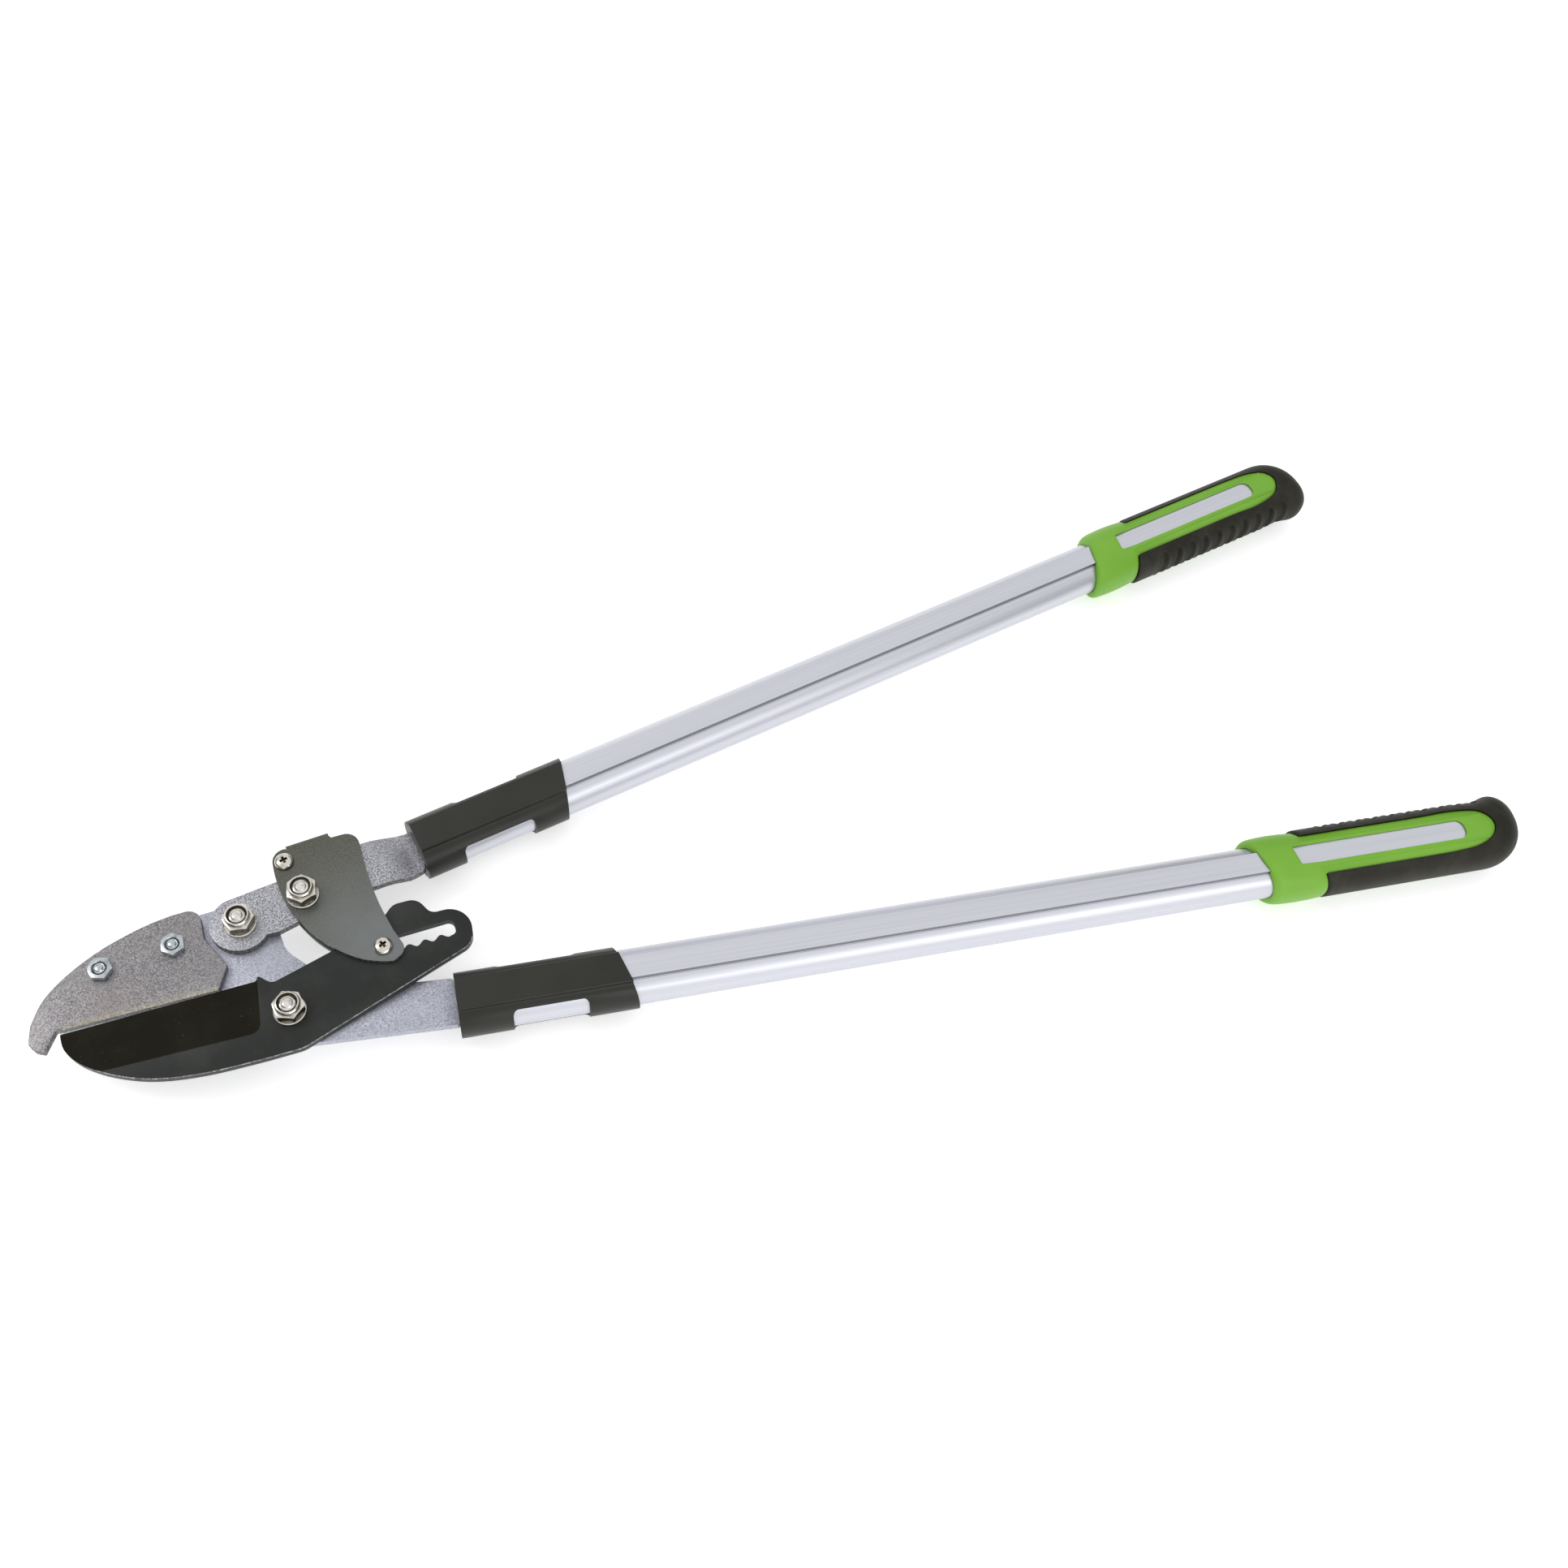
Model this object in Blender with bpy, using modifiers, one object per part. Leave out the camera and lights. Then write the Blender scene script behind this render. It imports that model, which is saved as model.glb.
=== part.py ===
"""Ratchet anvil loppers, lying flat with the nut side up.

Tool frame: the origin is the blade pivot, +X runs back between the handles,
+Y points to the upper handle, +Z comes out of the nut side, and z = 0 is the
middle of the handle tubes.  An empty carries that frame, and is moved at the
end so that the whole tool stands on z = 0 with its box centred on the origin.
"""
import math

import bmesh
import bpy
from mathutils import Matrix, Vector

MM = 0.001
GAP = 0.3 * MM

# ---- the stack of plates, measured from the middle of the handle tubes ----
PLATE = 4.0 * MM                       # base plate, anvil, blade and lever
CHEEK = 1.8 * MM                       # sheet of the link bracket
BASE_BACK = -PLATE / 2
JAW_BACK = PLATE / 2 + GAP             # back face of anvil, blade and lever
JAW_FRONT = JAW_BACK + PLATE
JAW_MID = (JAW_BACK + JAW_FRONT) / 2
CHEEK_FRONT_BACK = JAW_FRONT + GAP     # the front cheek's inner face
CHEEK_FRONT_TOP = CHEEK_FRONT_BACK + CHEEK
CHEEK_REAR_FRONT = JAW_BACK - GAP      # the rear cheek's inner face
CHEEK_REAR_BACK = CHEEK_REAR_FRONT - CHEEK

# ---- pivots in the plane of the tool, millimetres ----
BLADE_PIVOT = (0.0, 0.0)
LEVER_PIVOT = (-11.8, 50.1)
LINK_PIVOT = (18.9, 54.6)
PIN = (47.5, 16.9)
STOP = (14.5, 74.3)
ANVIL_BOLTS = ((-75.3, 46.1), (-42.6, 47.9))
ANVIL_HEEL = -27.5                     # where the striking edge ends, ahead of the blade pivot

# ---- fasteners, millimetres ----
PIVOT_BOLT = 7.7
PIVOT_BORE = 8.4
PIVOT_AF = 13.0
PIVOT_HEAD = 5.3
PIVOT_NUT = 8.0
WASHER_OD = 16.0
WASHER = 1.2
BUSH_OD = 11.4
BUSH_BORE = 12.0
ANVIL_BOLT = 5.7
ANVIL_BORE = 6.4
ANVIL_AF = 10.0
ANVIL_NUT = 3.2
ANVIL_HEAD = 4.0
PIN_DIAMETER = 4.8
PIN_BORE = 5.4
SCREW_SHANK = 2.4
SCREW_SOCKET = 3.0
SCREW_HEAD = 9.0
SCREW_HEAD_HEIGHT = 2.4

# ---- blade slot, millimetres ----
SLOT_TOP = 21.6
SLOT_LOW = 14.15
SLOT_START = 44.0
SLOT_END = 81.8
NOTCH_PITCH = 7.6
NOTCH_DEPTH = 0.85
LAST_NOTCH = 77.9

# ---- handles, millimetres; s runs along a handle from its sleeve's mouth ----
HANDLE_SPREAD = 8.42                   # each handle from the X axis, degrees
UPPER_MOUTH = (76.0, 65.5)
LOWER_MOUTH = (72.4, -19.4)
TUBE_HALF_WIDTH = 13.9
TUBE_HALF_THICK = 12.0
TUBE_WALL = 1.7
FLAT_HALF_WIDTH = 5.8
FLAT_HEIGHT = 13.0
TUBE_START = 1.0
TUBE_END = 538.0
ARC_STEPS = 9                          # facets on each round side of the tube
SLANT = 15.8                           # sleeve end, grip rim and rubber, degrees from square
SLEEVE_WALL = 1.5
SLEEVE_LENGTH = 79.2
SLEEVE_PANEL = 1.7                     # how far its face panels stand over the tube's flats
GRIP_RIM = 409.5
RUBBER_START = 438.5
WINDOW = (428.0, 526.0)
WINDOW_HALF_WIDTH = 5.0
GREEN_END = 544.0
GREEN_HALF_WIDTH = 9.0
GREEN_FACE = 15.9
CORE_HALF_WIDTH = 15.9                 # the shell under the rubber
CORE_HALF_THICK = 13.9
COLLAR_HALF_WIDTH = 18.2
COLLAR_HALF_THICK = 15.8
GRIP_END = 561.0
TANG_SHOULDER = -0.3
TONGUE_HALF_WIDTH = 9.5
TONGUE_LENGTH = 60.0
RIVETS = (22.0, 50.0)
RIVET_DIAMETER = 5.0
RIVET_BORE = 5.7


# ------------------------------------------------------------------ scene
def clear_scene():
    """Remove every object, so that the part starts from nothing."""
    for item in list(bpy.data.objects):
        bpy.data.objects.remove(item, do_unlink=True)


def new_collection(name):
    """Return a collection linked to the scene."""
    group = bpy.data.collections.new(name)
    bpy.context.scene.collection.children.link(group)
    return group


clear_scene()
PARTS = new_collection("ratchet_loppers")
CUTTERS = new_collection("cutters")
LAYER = bpy.context.view_layer


def material(name, colour, roughness, metallic):
    """Return a Principled material of one colour."""
    finish = bpy.data.materials.new(name)
    finish.use_nodes = True
    shader = finish.node_tree.nodes["Principled BSDF"]
    shader.inputs["Base Color"].default_value = (*colour, 1.0)
    shader.inputs["Roughness"].default_value = roughness
    shader.inputs["Metallic"].default_value = metallic
    finish.diffuse_color = (*colour, 1.0)
    return finish


ZINC = material("zinc_plate", (0.42, 0.44, 0.50), 0.42, 1.0)
ANVIL_STEEL = material("anvil_steel", (0.33, 0.32, 0.33), 0.5, 1.0)
BLACK_STEEL = material("coated_blade", (0.03, 0.032, 0.036), 0.35, 0.6)
BRACKET_STEEL = material("bracket_steel", (0.22, 0.22, 0.19), 0.4, 1.0)
BRIGHT_STEEL = material("bright_fastener", (0.62, 0.60, 0.55), 0.22, 1.0)
SPRING_STEEL = material("spring_steel", (0.3, 0.3, 0.3), 0.3, 1.0)
BRONZE = material("bush_bronze", (0.55, 0.38, 0.18), 0.35, 1.0)
ALUMINIUM = material("anodised_tube", (0.72, 0.73, 0.76), 0.3, 1.0)
GREEN = material("green_shell", (0.17, 0.52, 0.045), 0.38, 0.0)
BLACK_PLASTIC = material("black_sleeve", (0.022, 0.022, 0.02), 0.3, 0.0)
RUBBER = material("black_rubber", (0.028, 0.026, 0.022), 0.55, 0.0)


# ---------------------------------------------------------------- outlines
def rounded(corners, steps=5):
    """Turn (x, y, radius) corners into a closed outline with true arcs."""
    points = []
    count = len(corners)
    for index, (x, y, radius) in enumerate(corners):
        here = Vector((x, y))
        if radius <= 0:
            points.append((x, y))
            continue
        before = (Vector(corners[index - 1][:2]) - here).normalized()
        after = (Vector(corners[(index + 1) % count][:2]) - here).normalized()
        half = before.angle(after) / 2
        centre = here + (before + after).normalized() * radius / math.sin(half)
        first = here + before * radius / math.tan(half) - centre
        last = here + after * radius / math.tan(half) - centre
        sweep = first.angle_signed(last)
        for step in range(steps + 1):
            turn = Matrix.Rotation(-sweep * step / steps, 2)
            points.append(tuple(centre + turn @ first))
    return points


def through(knots, steps=4):
    """Return corners of no radius on a smooth curve through the knots."""
    ends = [Vector(knots[0]), *(Vector(k) for k in knots), Vector(knots[-1])]
    points = []
    for index in range(1, len(ends) - 2):
        p0, p1, p2, p3 = ends[index - 1:index + 3]
        for step in range(steps):
            t = step / steps
            place = (p1 * 2 + (p2 - p0) * t + (p0 * 2 - p1 * 5 + p2 * 4 - p3) * t * t
                     + (p1 * 3 - p0 - p2 * 3 + p3) * t ** 3) / 2
            points.append((place.x, place.y, 0.0))
    points.append((*knots[-1], 0.0))
    return points


def circle(centre, diameter, sides=16):
    """Return a closed round outline."""
    x, y = centre
    radius = diameter / 2
    angles = [2 * math.pi * k / sides for k in range(sides)]
    return [(x + radius * math.cos(a), y + radius * math.sin(a)) for a in angles]


def hexagon(centre, across_flats):
    """Return a hexagon with two flats along X."""
    x, y = centre
    radius = across_flats / math.sqrt(3)
    angles = [math.pi * (2 * k + 1) / 6 for k in range(6)]
    return [(x + radius * math.cos(a), y + radius * math.sin(a)) for a in angles]


def tube_section(half_width, half_thick, flat_half, flat_height):
    """Return an oval with a raised flat on each face, as (across, up) points."""
    meet = math.acos(flat_half / half_width)
    right = [-meet + 2 * meet * k / ARC_STEPS for k in range(ARC_STEPS + 1)]
    left = [math.pi + angle for angle in right]
    points = [(half_width * math.cos(a), half_thick * math.sin(a)) for a in right]
    points += [(flat_half, flat_height), (-flat_half, flat_height)]
    points += [(half_width * math.cos(a), half_thick * math.sin(a)) for a in left]
    points += [(-flat_half, -flat_height), (flat_half, -flat_height)]
    return points


# ------------------------------------------------------------ solid makers
def tidy_mesh(mesh, merge=0.00001):
    """Weld a mesh and point its faces outwards."""
    work = bmesh.new()
    work.from_mesh(mesh)
    bmesh.ops.remove_doubles(work, verts=work.verts, dist=merge)
    bmesh.ops.recalc_face_normals(work, faces=work.faces)
    work.to_mesh(mesh)
    work.free()


def plate(name, outlines, back, thickness, group=PARTS):
    """Return a flat plate: the first outline is its edge, the others are holes."""
    curve = bpy.data.curves.new(name, "CURVE")
    curve.dimensions = "2D"
    curve.fill_mode = "BOTH"
    curve.extrude = thickness / 2
    for outline in outlines:
        spline = curve.splines.new("POLY")
        spline.points.add(len(outline) - 1)
        for point, (x, y) in zip(spline.points, outline):
            point.co = (x * MM, y * MM, 0.0, 1.0)
        spline.use_cyclic_u = True
    flat = bpy.data.objects.new(name + "_outline", curve)
    bpy.context.scene.collection.objects.link(flat)
    flat.location.z = back + thickness / 2
    LAYER.update()
    solid = as_mesh(flat, name, group)
    bpy.data.objects.remove(flat, do_unlink=True)
    bpy.data.curves.remove(curve)
    return solid


def as_mesh(source, name, group=PARTS):
    """Return a mesh object with the source's evaluated shape and place."""
    evaluated = source.evaluated_get(bpy.context.evaluated_depsgraph_get())
    mesh = bpy.data.meshes.new_from_object(evaluated)
    mesh.name = name
    mesh.transform(source.matrix_world)
    tidy_mesh(mesh)
    solid = bpy.data.objects.new(name, mesh)
    group.objects.link(solid)
    return solid


def bar(name, outlines, start, length, group=PARTS):
    """Return a straight extrusion along +X of (across, up) outlines."""
    solid = plate(name, outlines, start * MM, length * MM, group)
    solid.data.transform(Matrix(((0, 0, 1, 0), (1, 0, 0, 0), (0, 1, 0, 0), (0, 0, 0, 1))))
    return solid


def turned(name, centre, profile, sides=16, group=PARTS):
    """Return a solid of revolution from (radius, z) points, top to bottom."""
    work = bmesh.new()
    points = [work.verts.new((radius * MM, 0.0, z)) for radius, z in profile]
    for first, second in zip(points, points[1:]):
        work.edges.new((first, second))
    mesh = bpy.data.meshes.new(name)
    work.to_mesh(mesh)
    work.free()
    blank = bpy.data.objects.new(name + "_profile", mesh)
    bpy.context.scene.collection.objects.link(blank)
    blank.location = (centre[0] * MM, centre[1] * MM, 0.0)
    screw = blank.modifiers.new("turn", "SCREW")
    screw.steps = sides
    screw.render_steps = sides
    screw.use_merge_vertices = True
    screw.merge_threshold = 0.00001
    LAYER.update()
    solid = as_mesh(blank, name, group)
    bpy.data.objects.remove(blank, do_unlink=True)
    return solid


def box(name, low, high, group=CUTTERS):
    """Return a box between two corners, in millimetres."""
    work = bmesh.new()
    bmesh.ops.create_cube(work, size=1.0)
    size = [(b - a) * MM for a, b in zip(low, high)]
    middle = [(a + b) * MM / 2 for a, b in zip(low, high)]
    bmesh.ops.scale(work, vec=size, verts=work.verts)
    bmesh.ops.translate(work, vec=middle, verts=work.verts)
    mesh = bpy.data.meshes.new(name)
    work.to_mesh(mesh)
    work.free()
    solid = bpy.data.objects.new(name, mesh)
    group.objects.link(solid)
    return solid


def loft(name, rings, group=PARTS):
    """Return a closed skin over rings of (x, y, z) points, capped at both ends."""
    work = bmesh.new()
    loops = [[work.verts.new([c * MM for c in point]) for point in ring] for ring in rings]
    for lower, upper in zip(loops, loops[1:]):
        for index, corner in enumerate(lower):
            after = (index + 1) % len(lower)
            work.faces.new((corner, lower[after], upper[after], upper[index]))
    work.faces.new(loops[0])
    work.faces.new(loops[-1])
    bmesh.ops.recalc_face_normals(work, faces=work.faces)
    mesh = bpy.data.meshes.new(name)
    work.to_mesh(mesh)
    work.free()
    solid = bpy.data.objects.new(name, mesh)
    group.objects.link(solid)
    return solid


def combine(target, tools, operation):
    """Cut the tools from the target, or join them to it, and keep the result."""
    for tool in tools:
        tool.hide_render = True
        tool.display_type = "WIRE"
        change = target.modifiers.new(operation.lower(), "BOOLEAN")
        change.operation = operation
        change.object = tool
    LAYER.update()
    evaluated = target.evaluated_get(bpy.context.evaluated_depsgraph_get())
    mesh = bpy.data.meshes.new_from_object(evaluated)
    mesh.name = target.name
    target.modifiers.clear()
    target.data = mesh
    tidy_mesh(mesh, 0.000001)
    for tool in tools:
        if tool.name in PARTS.objects:
            PARTS.objects.unlink(tool)
            CUTTERS.objects.link(tool)


def cut(target, *tools):
    """Cut closed tools from the target."""
    combine(target, tools, "DIFFERENCE")


def join(target, *tools):
    """Join overlapping solids to the target."""
    combine(target, tools, "UNION")


def turn_about(solid, angle, axis, pivot):
    """Turn a solid's mesh about a line through a point in millimetres."""
    centre = Vector([c * MM for c in pivot])
    turn = Matrix.Rotation(math.radians(angle), 4, axis)
    solid.data.transform(Matrix.Translation(centre) @ turn @ Matrix.Translation(-centre))


def finish(solid, surface, parent, rounded_edges=False):
    """Give a part its material and parent, and its origin on the parent's axis."""
    solid.data.materials.clear()
    solid.data.materials.append(surface)
    solid.data.transform(Matrix.Translation(-plan_place(parent)))
    solid.parent = parent
    if rounded_edges:
        solid.data.shade_smooth()
        solid.data.set_sharp_from_angle(angle=math.radians(35))


# ------------------------------------------------------------- the frame
def empty(name, place, parent=None):
    """Return an empty at a point of the tool's plane, in millimetres."""
    marker = bpy.data.objects.new(name, None)
    marker.location = (place[0] * MM, place[1] * MM, 0.0)
    marker.parent = parent
    PARTS.objects.link(marker)
    return marker


def plan_place(marker):
    """Return where an empty stands in the tool frame."""
    return Vector(marker.location) if marker.parent else Vector((0.0, 0.0, 0.0))


TOOL = empty("tool_frame", (0.0, 0.0))
BLADE_HINGE = empty("blade_hinge", BLADE_PIVOT, TOOL)
LEVER_HINGE = empty("lever_hinge", LEVER_PIVOT, TOOL)
LINK_HINGE = empty("link_hinge", LINK_PIVOT, TOOL)


# ------------------------------------------------------------ flat plates
def anvil_line(x):
    """Return the height of the anvil's striking edge at x."""
    return 20.6 - 0.0372 * (x - ANVIL_HEEL)


def anvil_outline():
    """Return the anvil's edge: hooked nose, arched back and stepped heel."""
    arch = through([(-108.8, 29.0), (-101.5, 39.8), (-88.5, 49.5), (-71.9, 57.2), (-53.5, 62.3),
                    (-40.0, 64.1)], 3)
    heel = [(-28.0, 64.0, 6.0), (-28.8, 48.0, 2.0), (-21.6, 31.0, 2.0),
            (ANVIL_HEEL, anvil_line(ANVIL_HEEL), 0.6)]
    hook = [(-98.6, anvil_line(-98.6), 0.8), (-104.9, 14.4, 0.8), (-108.4, 16.4, 1.5),
            (-111.0, 20.5, 3.0)]
    return rounded(arch + heel + hook, 3)


def build_anvil():
    """Build the anvil plate and the bolts and nuts that clamp it."""
    bores = [circle(place, ANVIL_BORE) for place in ANVIL_BOLTS]
    anvil = plate("anvil_plate", [anvil_outline(), *bores], JAW_BACK, PLATE)
    finish(anvil, ANVIL_STEEL, TOOL)
    for end, place in zip(("front", "rear"), ANVIL_BOLTS):
        nut_back = JAW_FRONT + GAP
        nut_top = nut_back + ANVIL_NUT * MM
        nut = plate(f"anvil_nut_{end}", [hexagon(place, ANVIL_AF), circle(place, ANVIL_BORE)],
                    nut_back, ANVIL_NUT * MM)
        finish(nut, BRIGHT_STEEL, TOOL)
        bolt = hex_bolt(f"anvil_bolt_{end}", place, BASE_BACK, nut_top, ANVIL_BOLT, ANVIL_AF,
                        ANVIL_HEAD)
        finish(bolt, BRIGHT_STEEL, TOOL, True)


def hex_bolt(name, place, clamp_face, tip, shank, across_flats, head_height):
    """Return a bolt whose hexagon head bears on a face below, pointing up."""
    head_top = clamp_face - GAP
    bolt = plate(name, [hexagon(place, across_flats)], head_top - head_height * MM, head_height * MM)
    radius = shank / 2
    root = head_top - head_height * MM / 2
    dome = 0.8 * MM
    stem = turned(name + "_stem", place, [(0.0, tip + dome), (radius * 0.7, tip + dome * 0.7),
                                          (radius, tip), (radius, root), (0.0, root)],
                  group=CUTTERS)
    join(bolt, stem)
    return bolt


def build_base():
    """Build the base plate, which carries the anvil and becomes the lower tang."""
    jaw = through([(-100.0, 37.0), (-88.5, 46.5), (-71.9, 54.6), (-53.5, 60.0), (-40.0, 62.4)], 2)
    shoulder = [(-16.0, 62.6, 12.0), (3.6, 56.0, 7.0), (4.6, 32.0, 14.0), (22.0, 9.0, 30.0)]
    tang = [(56.6, -2.4, 40.0), (*handle_point(TANG_SHOULDER, -13.4, -1), 1.5)]
    tail = [(*handle_point(TANG_SHOULDER, 10.4, -1), 2.0), (6.0, -17.0, 16.0), (-14.0, -14.0, 12.0),
            (-17.0, 12.0, 8.0), (ANVIL_HEEL, anvil_line(ANVIL_HEEL), 4.0),
            (-97.0, anvil_line(-97.0), 3.0), (-103.0, 30.0, 3.0)]
    outline = rounded(jaw + shoulder + tang + tail, 4)
    bores = [circle(BLADE_PIVOT, PIVOT_BORE), circle(LEVER_PIVOT, PIVOT_BORE)]
    bores += [circle(place, ANVIL_BORE) for place in ANVIL_BOLTS]
    base = plate("base_plate", [outline, *bores], BASE_BACK, PLATE)
    tongue = handle_bar("base_tongue", -6.0, TONGUE_LENGTH, -1)
    join(base, tongue)
    drill_tongue(base, -1)
    finish(base, ZINC, TOOL)


def handle_bar(name, start, end, side):
    """Return the narrow strip of a tang that slides into a handle tube."""
    strip = plate(name, [rounded([(start, -TONGUE_HALF_WIDTH, 0.0), (end, -TONGUE_HALF_WIDTH, 3.0),
                                  (end, TONGUE_HALF_WIDTH, 3.0), (start, TONGUE_HALF_WIDTH, 0.0)], 3)],
                  BASE_BACK, PLATE, CUTTERS)
    put_on_handle(strip, side)
    return strip


def drill_tongue(tang, side):
    """Drill the rivet holes of a tang."""
    drills = []
    for place in RIVETS:
        drill = plate("tang_drill", [circle((place, 0.0), RIVET_BORE, 12)], 2 * BASE_BACK, 2 * PLATE,
                      CUTTERS)
        put_on_handle(drill, side)
        drills.append(drill)
    cut(tang, *drills)


def build_blade():
    """Build the blade: bevelled edge, round belly and a tail with a notched slot."""
    belly = through([(-97.6, 21.4), (-96.8, 13.0), (-90.5, 3.5), (-78.5, -5.8), (-62.0, -13.3),
                     (-40.6, -17.6), (-14.0, -19.4)], 3)
    tail = [(2.0, -19.8, 14.0), (88.0, 6.4, 9.0), (91.6, 27.2, 11.0), (73.0, 27.8, 5.0),
            (68.6, 37.4, 7.0), (57.0, 37.8, 7.0), (47.0, 28.6, 20.0), (6.5, 17.9, 10.0),
            (0.9, 15.6, 7.0), (-8.4, 21.6, 2.0), (-11.3, 19.7, 0.4)]
    outline = rounded(belly + tail, 4)
    blade = plate("blade", [outline, slot_outline(), circle(BLADE_PIVOT, BUSH_BORE)], JAW_BACK, PLATE)
    for face, sign in ((JAW_FRONT, 1), (JAW_BACK, -1)):
        cutter = bevel_cutter(face, sign)
        cut(blade, cutter)
    finish(blade, BLACK_STEEL, BLADE_HINGE)


def slot_outline():
    """Return the slot: a straight upper edge, a round end and a scalloped lower edge."""
    def low(x):
        return SLOT_LOW - NOTCH_DEPTH * math.cos(2 * math.pi * (x - LAST_NOTCH) / NOTCH_PITCH)

    count = 36
    first = SLOT_START + 1.0
    scallops = [first + (LAST_NOTCH + 1.0 - first) * k / count for k in range(count + 1)]
    corners = [(SLOT_START, SLOT_TOP, 2.2), (SLOT_START, low(first), 1.5)]
    corners += [(x, low(x), 0.0) for x in scallops]
    corners += [(SLOT_END, low(LAST_NOTCH) + 0.3, 2.6), (SLOT_END, SLOT_TOP, 3.2)]
    return rounded(corners, 4)


def bevel_cutter(face, sign):
    """Return the tool that grinds one side of the blade down to its edge."""
    start = -5.0
    width = 60.0
    depth = 10.0
    slope = math.degrees(math.atan2(1.75, 26.0))
    base = face / MM
    low = (-130.0, start, base) if sign > 0 else (-130.0, start, base - depth)
    high = (-12.6, start + width, base + depth) if sign > 0 else (-12.6, start + width, base)
    tool = box("bevel_tool", low, high)
    turn_about(tool, -2.1, "Z", (-12.6, start, base))
    turn_about(tool, -sign * slope, "X", (0.0, start, base))
    return tool


def build_lever():
    """Build the lever arm, which steps back into the upper handle tube."""
    upper = [(8.5, 66.2, 14.0), (50.4, 74.0, 0.0), (*handle_point(-9.0, 10.6, 1), 4.0),
             (*handle_point(TANG_SHOULDER, 9.8, 1), 1.5)]
    lower = [(*handle_point(TANG_SHOULDER, -12.0, 1), 1.5), (*handle_point(-9.0, -13.6, 1), 4.0),
             (51.0, 49.4, 0.0), (15.1, 43.0, 3.0), (4.0, 40.4, 6.0)]
    round_end = arc_corners(LEVER_PIVOT, 14.0, 318.0, 108.0, 12)
    outline = rounded(upper + lower + round_end, 4)
    bores = [circle(LEVER_PIVOT, BUSH_BORE), circle(LINK_PIVOT, PIVOT_BORE)]
    lever = plate("lever_arm", [outline, *bores], JAW_BACK, PLATE)
    tongue = handle_bar("lever_tongue", -6.0, TONGUE_LENGTH, 1)
    tongue.data.transform(Matrix.Translation((0.0, 0.0, JAW_MID)))
    join(lever, tongue)
    joggle(lever)
    drill_tongue(lever, 1)
    finish(lever, ZINC, LEVER_HINGE)


def arc_corners(centre, radius, start, end, count):
    """Return corners on an arc that runs clockwise between two angles."""
    angles = [math.radians(start + (end - start) * k / count) for k in range(count + 1)]
    return [(centre[0] + radius * math.cos(a), centre[1] + radius * math.sin(a), 0.0) for a in angles]


def joggle(lever):
    """Press the lever back to the middle of the tube along an S-shaped step."""
    step_start = -21.5
    step_end = -3.0
    stations = 6
    along = Vector((math.cos(math.radians(HANDLE_SPREAD)), math.sin(math.radians(HANDLE_SPREAD)), 0))
    mouth = Vector((UPPER_MOUTH[0] * MM, UPPER_MOUTH[1] * MM, 0.0))
    work = bmesh.new()
    work.from_mesh(lever.data)
    for index in range(stations + 1):
        place = (step_start + (step_end - step_start) * index / stations) * MM
        bmesh.ops.bisect_plane(work, geom=work.verts[:] + work.edges[:] + work.faces[:],
                               dist=0.000001, plane_co=mouth + along * place, plane_no=along)
    for vert in work.verts:
        place = (vert.co - mouth).dot(along) / MM
        ratio = min(1.0, max(0.0, (place - step_start) / (step_end - step_start)))
        vert.co.z -= JAW_MID * ratio * ratio * (3 - 2 * ratio)
    bmesh.ops.triangulate(work, faces=work.faces)
    work.to_mesh(lever.data)
    work.free()
    tidy_mesh(lever.data, 0.000001)


# ------------------------------------------------------- pivots and links
def build_pivot(name, place, clamp_face, front_face, bush, parent):
    """Build one pivot: bolt, washer, lock nut and, round it, a bush."""
    washer_back = front_face + GAP
    nut_back = washer_back + WASHER * MM + GAP
    nut_top = nut_back + PIVOT_NUT * MM
    washer = plate(name + "_washer", [circle(place, WASHER_OD, 20), circle(place, PIVOT_BORE)],
                   washer_back, WASHER * MM)
    finish(washer, BRIGHT_STEEL, parent)
    nut = lock_nut(name + "_nut", place, nut_back)
    finish(nut, BRIGHT_STEEL, parent, True)
    bolt = hex_bolt(name + "_bolt", place, clamp_face, nut_top - 0.6 * MM, PIVOT_BOLT, PIVOT_AF,
                    PIVOT_HEAD)
    finish(bolt, BRIGHT_STEEL, parent, True)
    if bush:
        ring = plate(name + "_bush", [circle(place, BUSH_OD, 20), circle(place, PIVOT_BORE)],
                     JAW_BACK, PLATE)
        finish(ring, BRONZE, parent)


def lock_nut(name, place, back):
    """Return a hexagon nut with the round collar of its locking ring on top."""
    hexagon_height = 5.6 * MM
    nut = plate(name, [hexagon(place, PIVOT_AF), circle(place, PIVOT_BORE)], back, hexagon_height)
    collar = plate(name + "_collar", [circle(place, PIVOT_AF - 1.2, 20), circle(place, PIVOT_BORE)],
                   back + hexagon_height / 2, PIVOT_NUT * MM - hexagon_height / 2, CUTTERS)
    join(nut, collar)
    return nut


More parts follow.
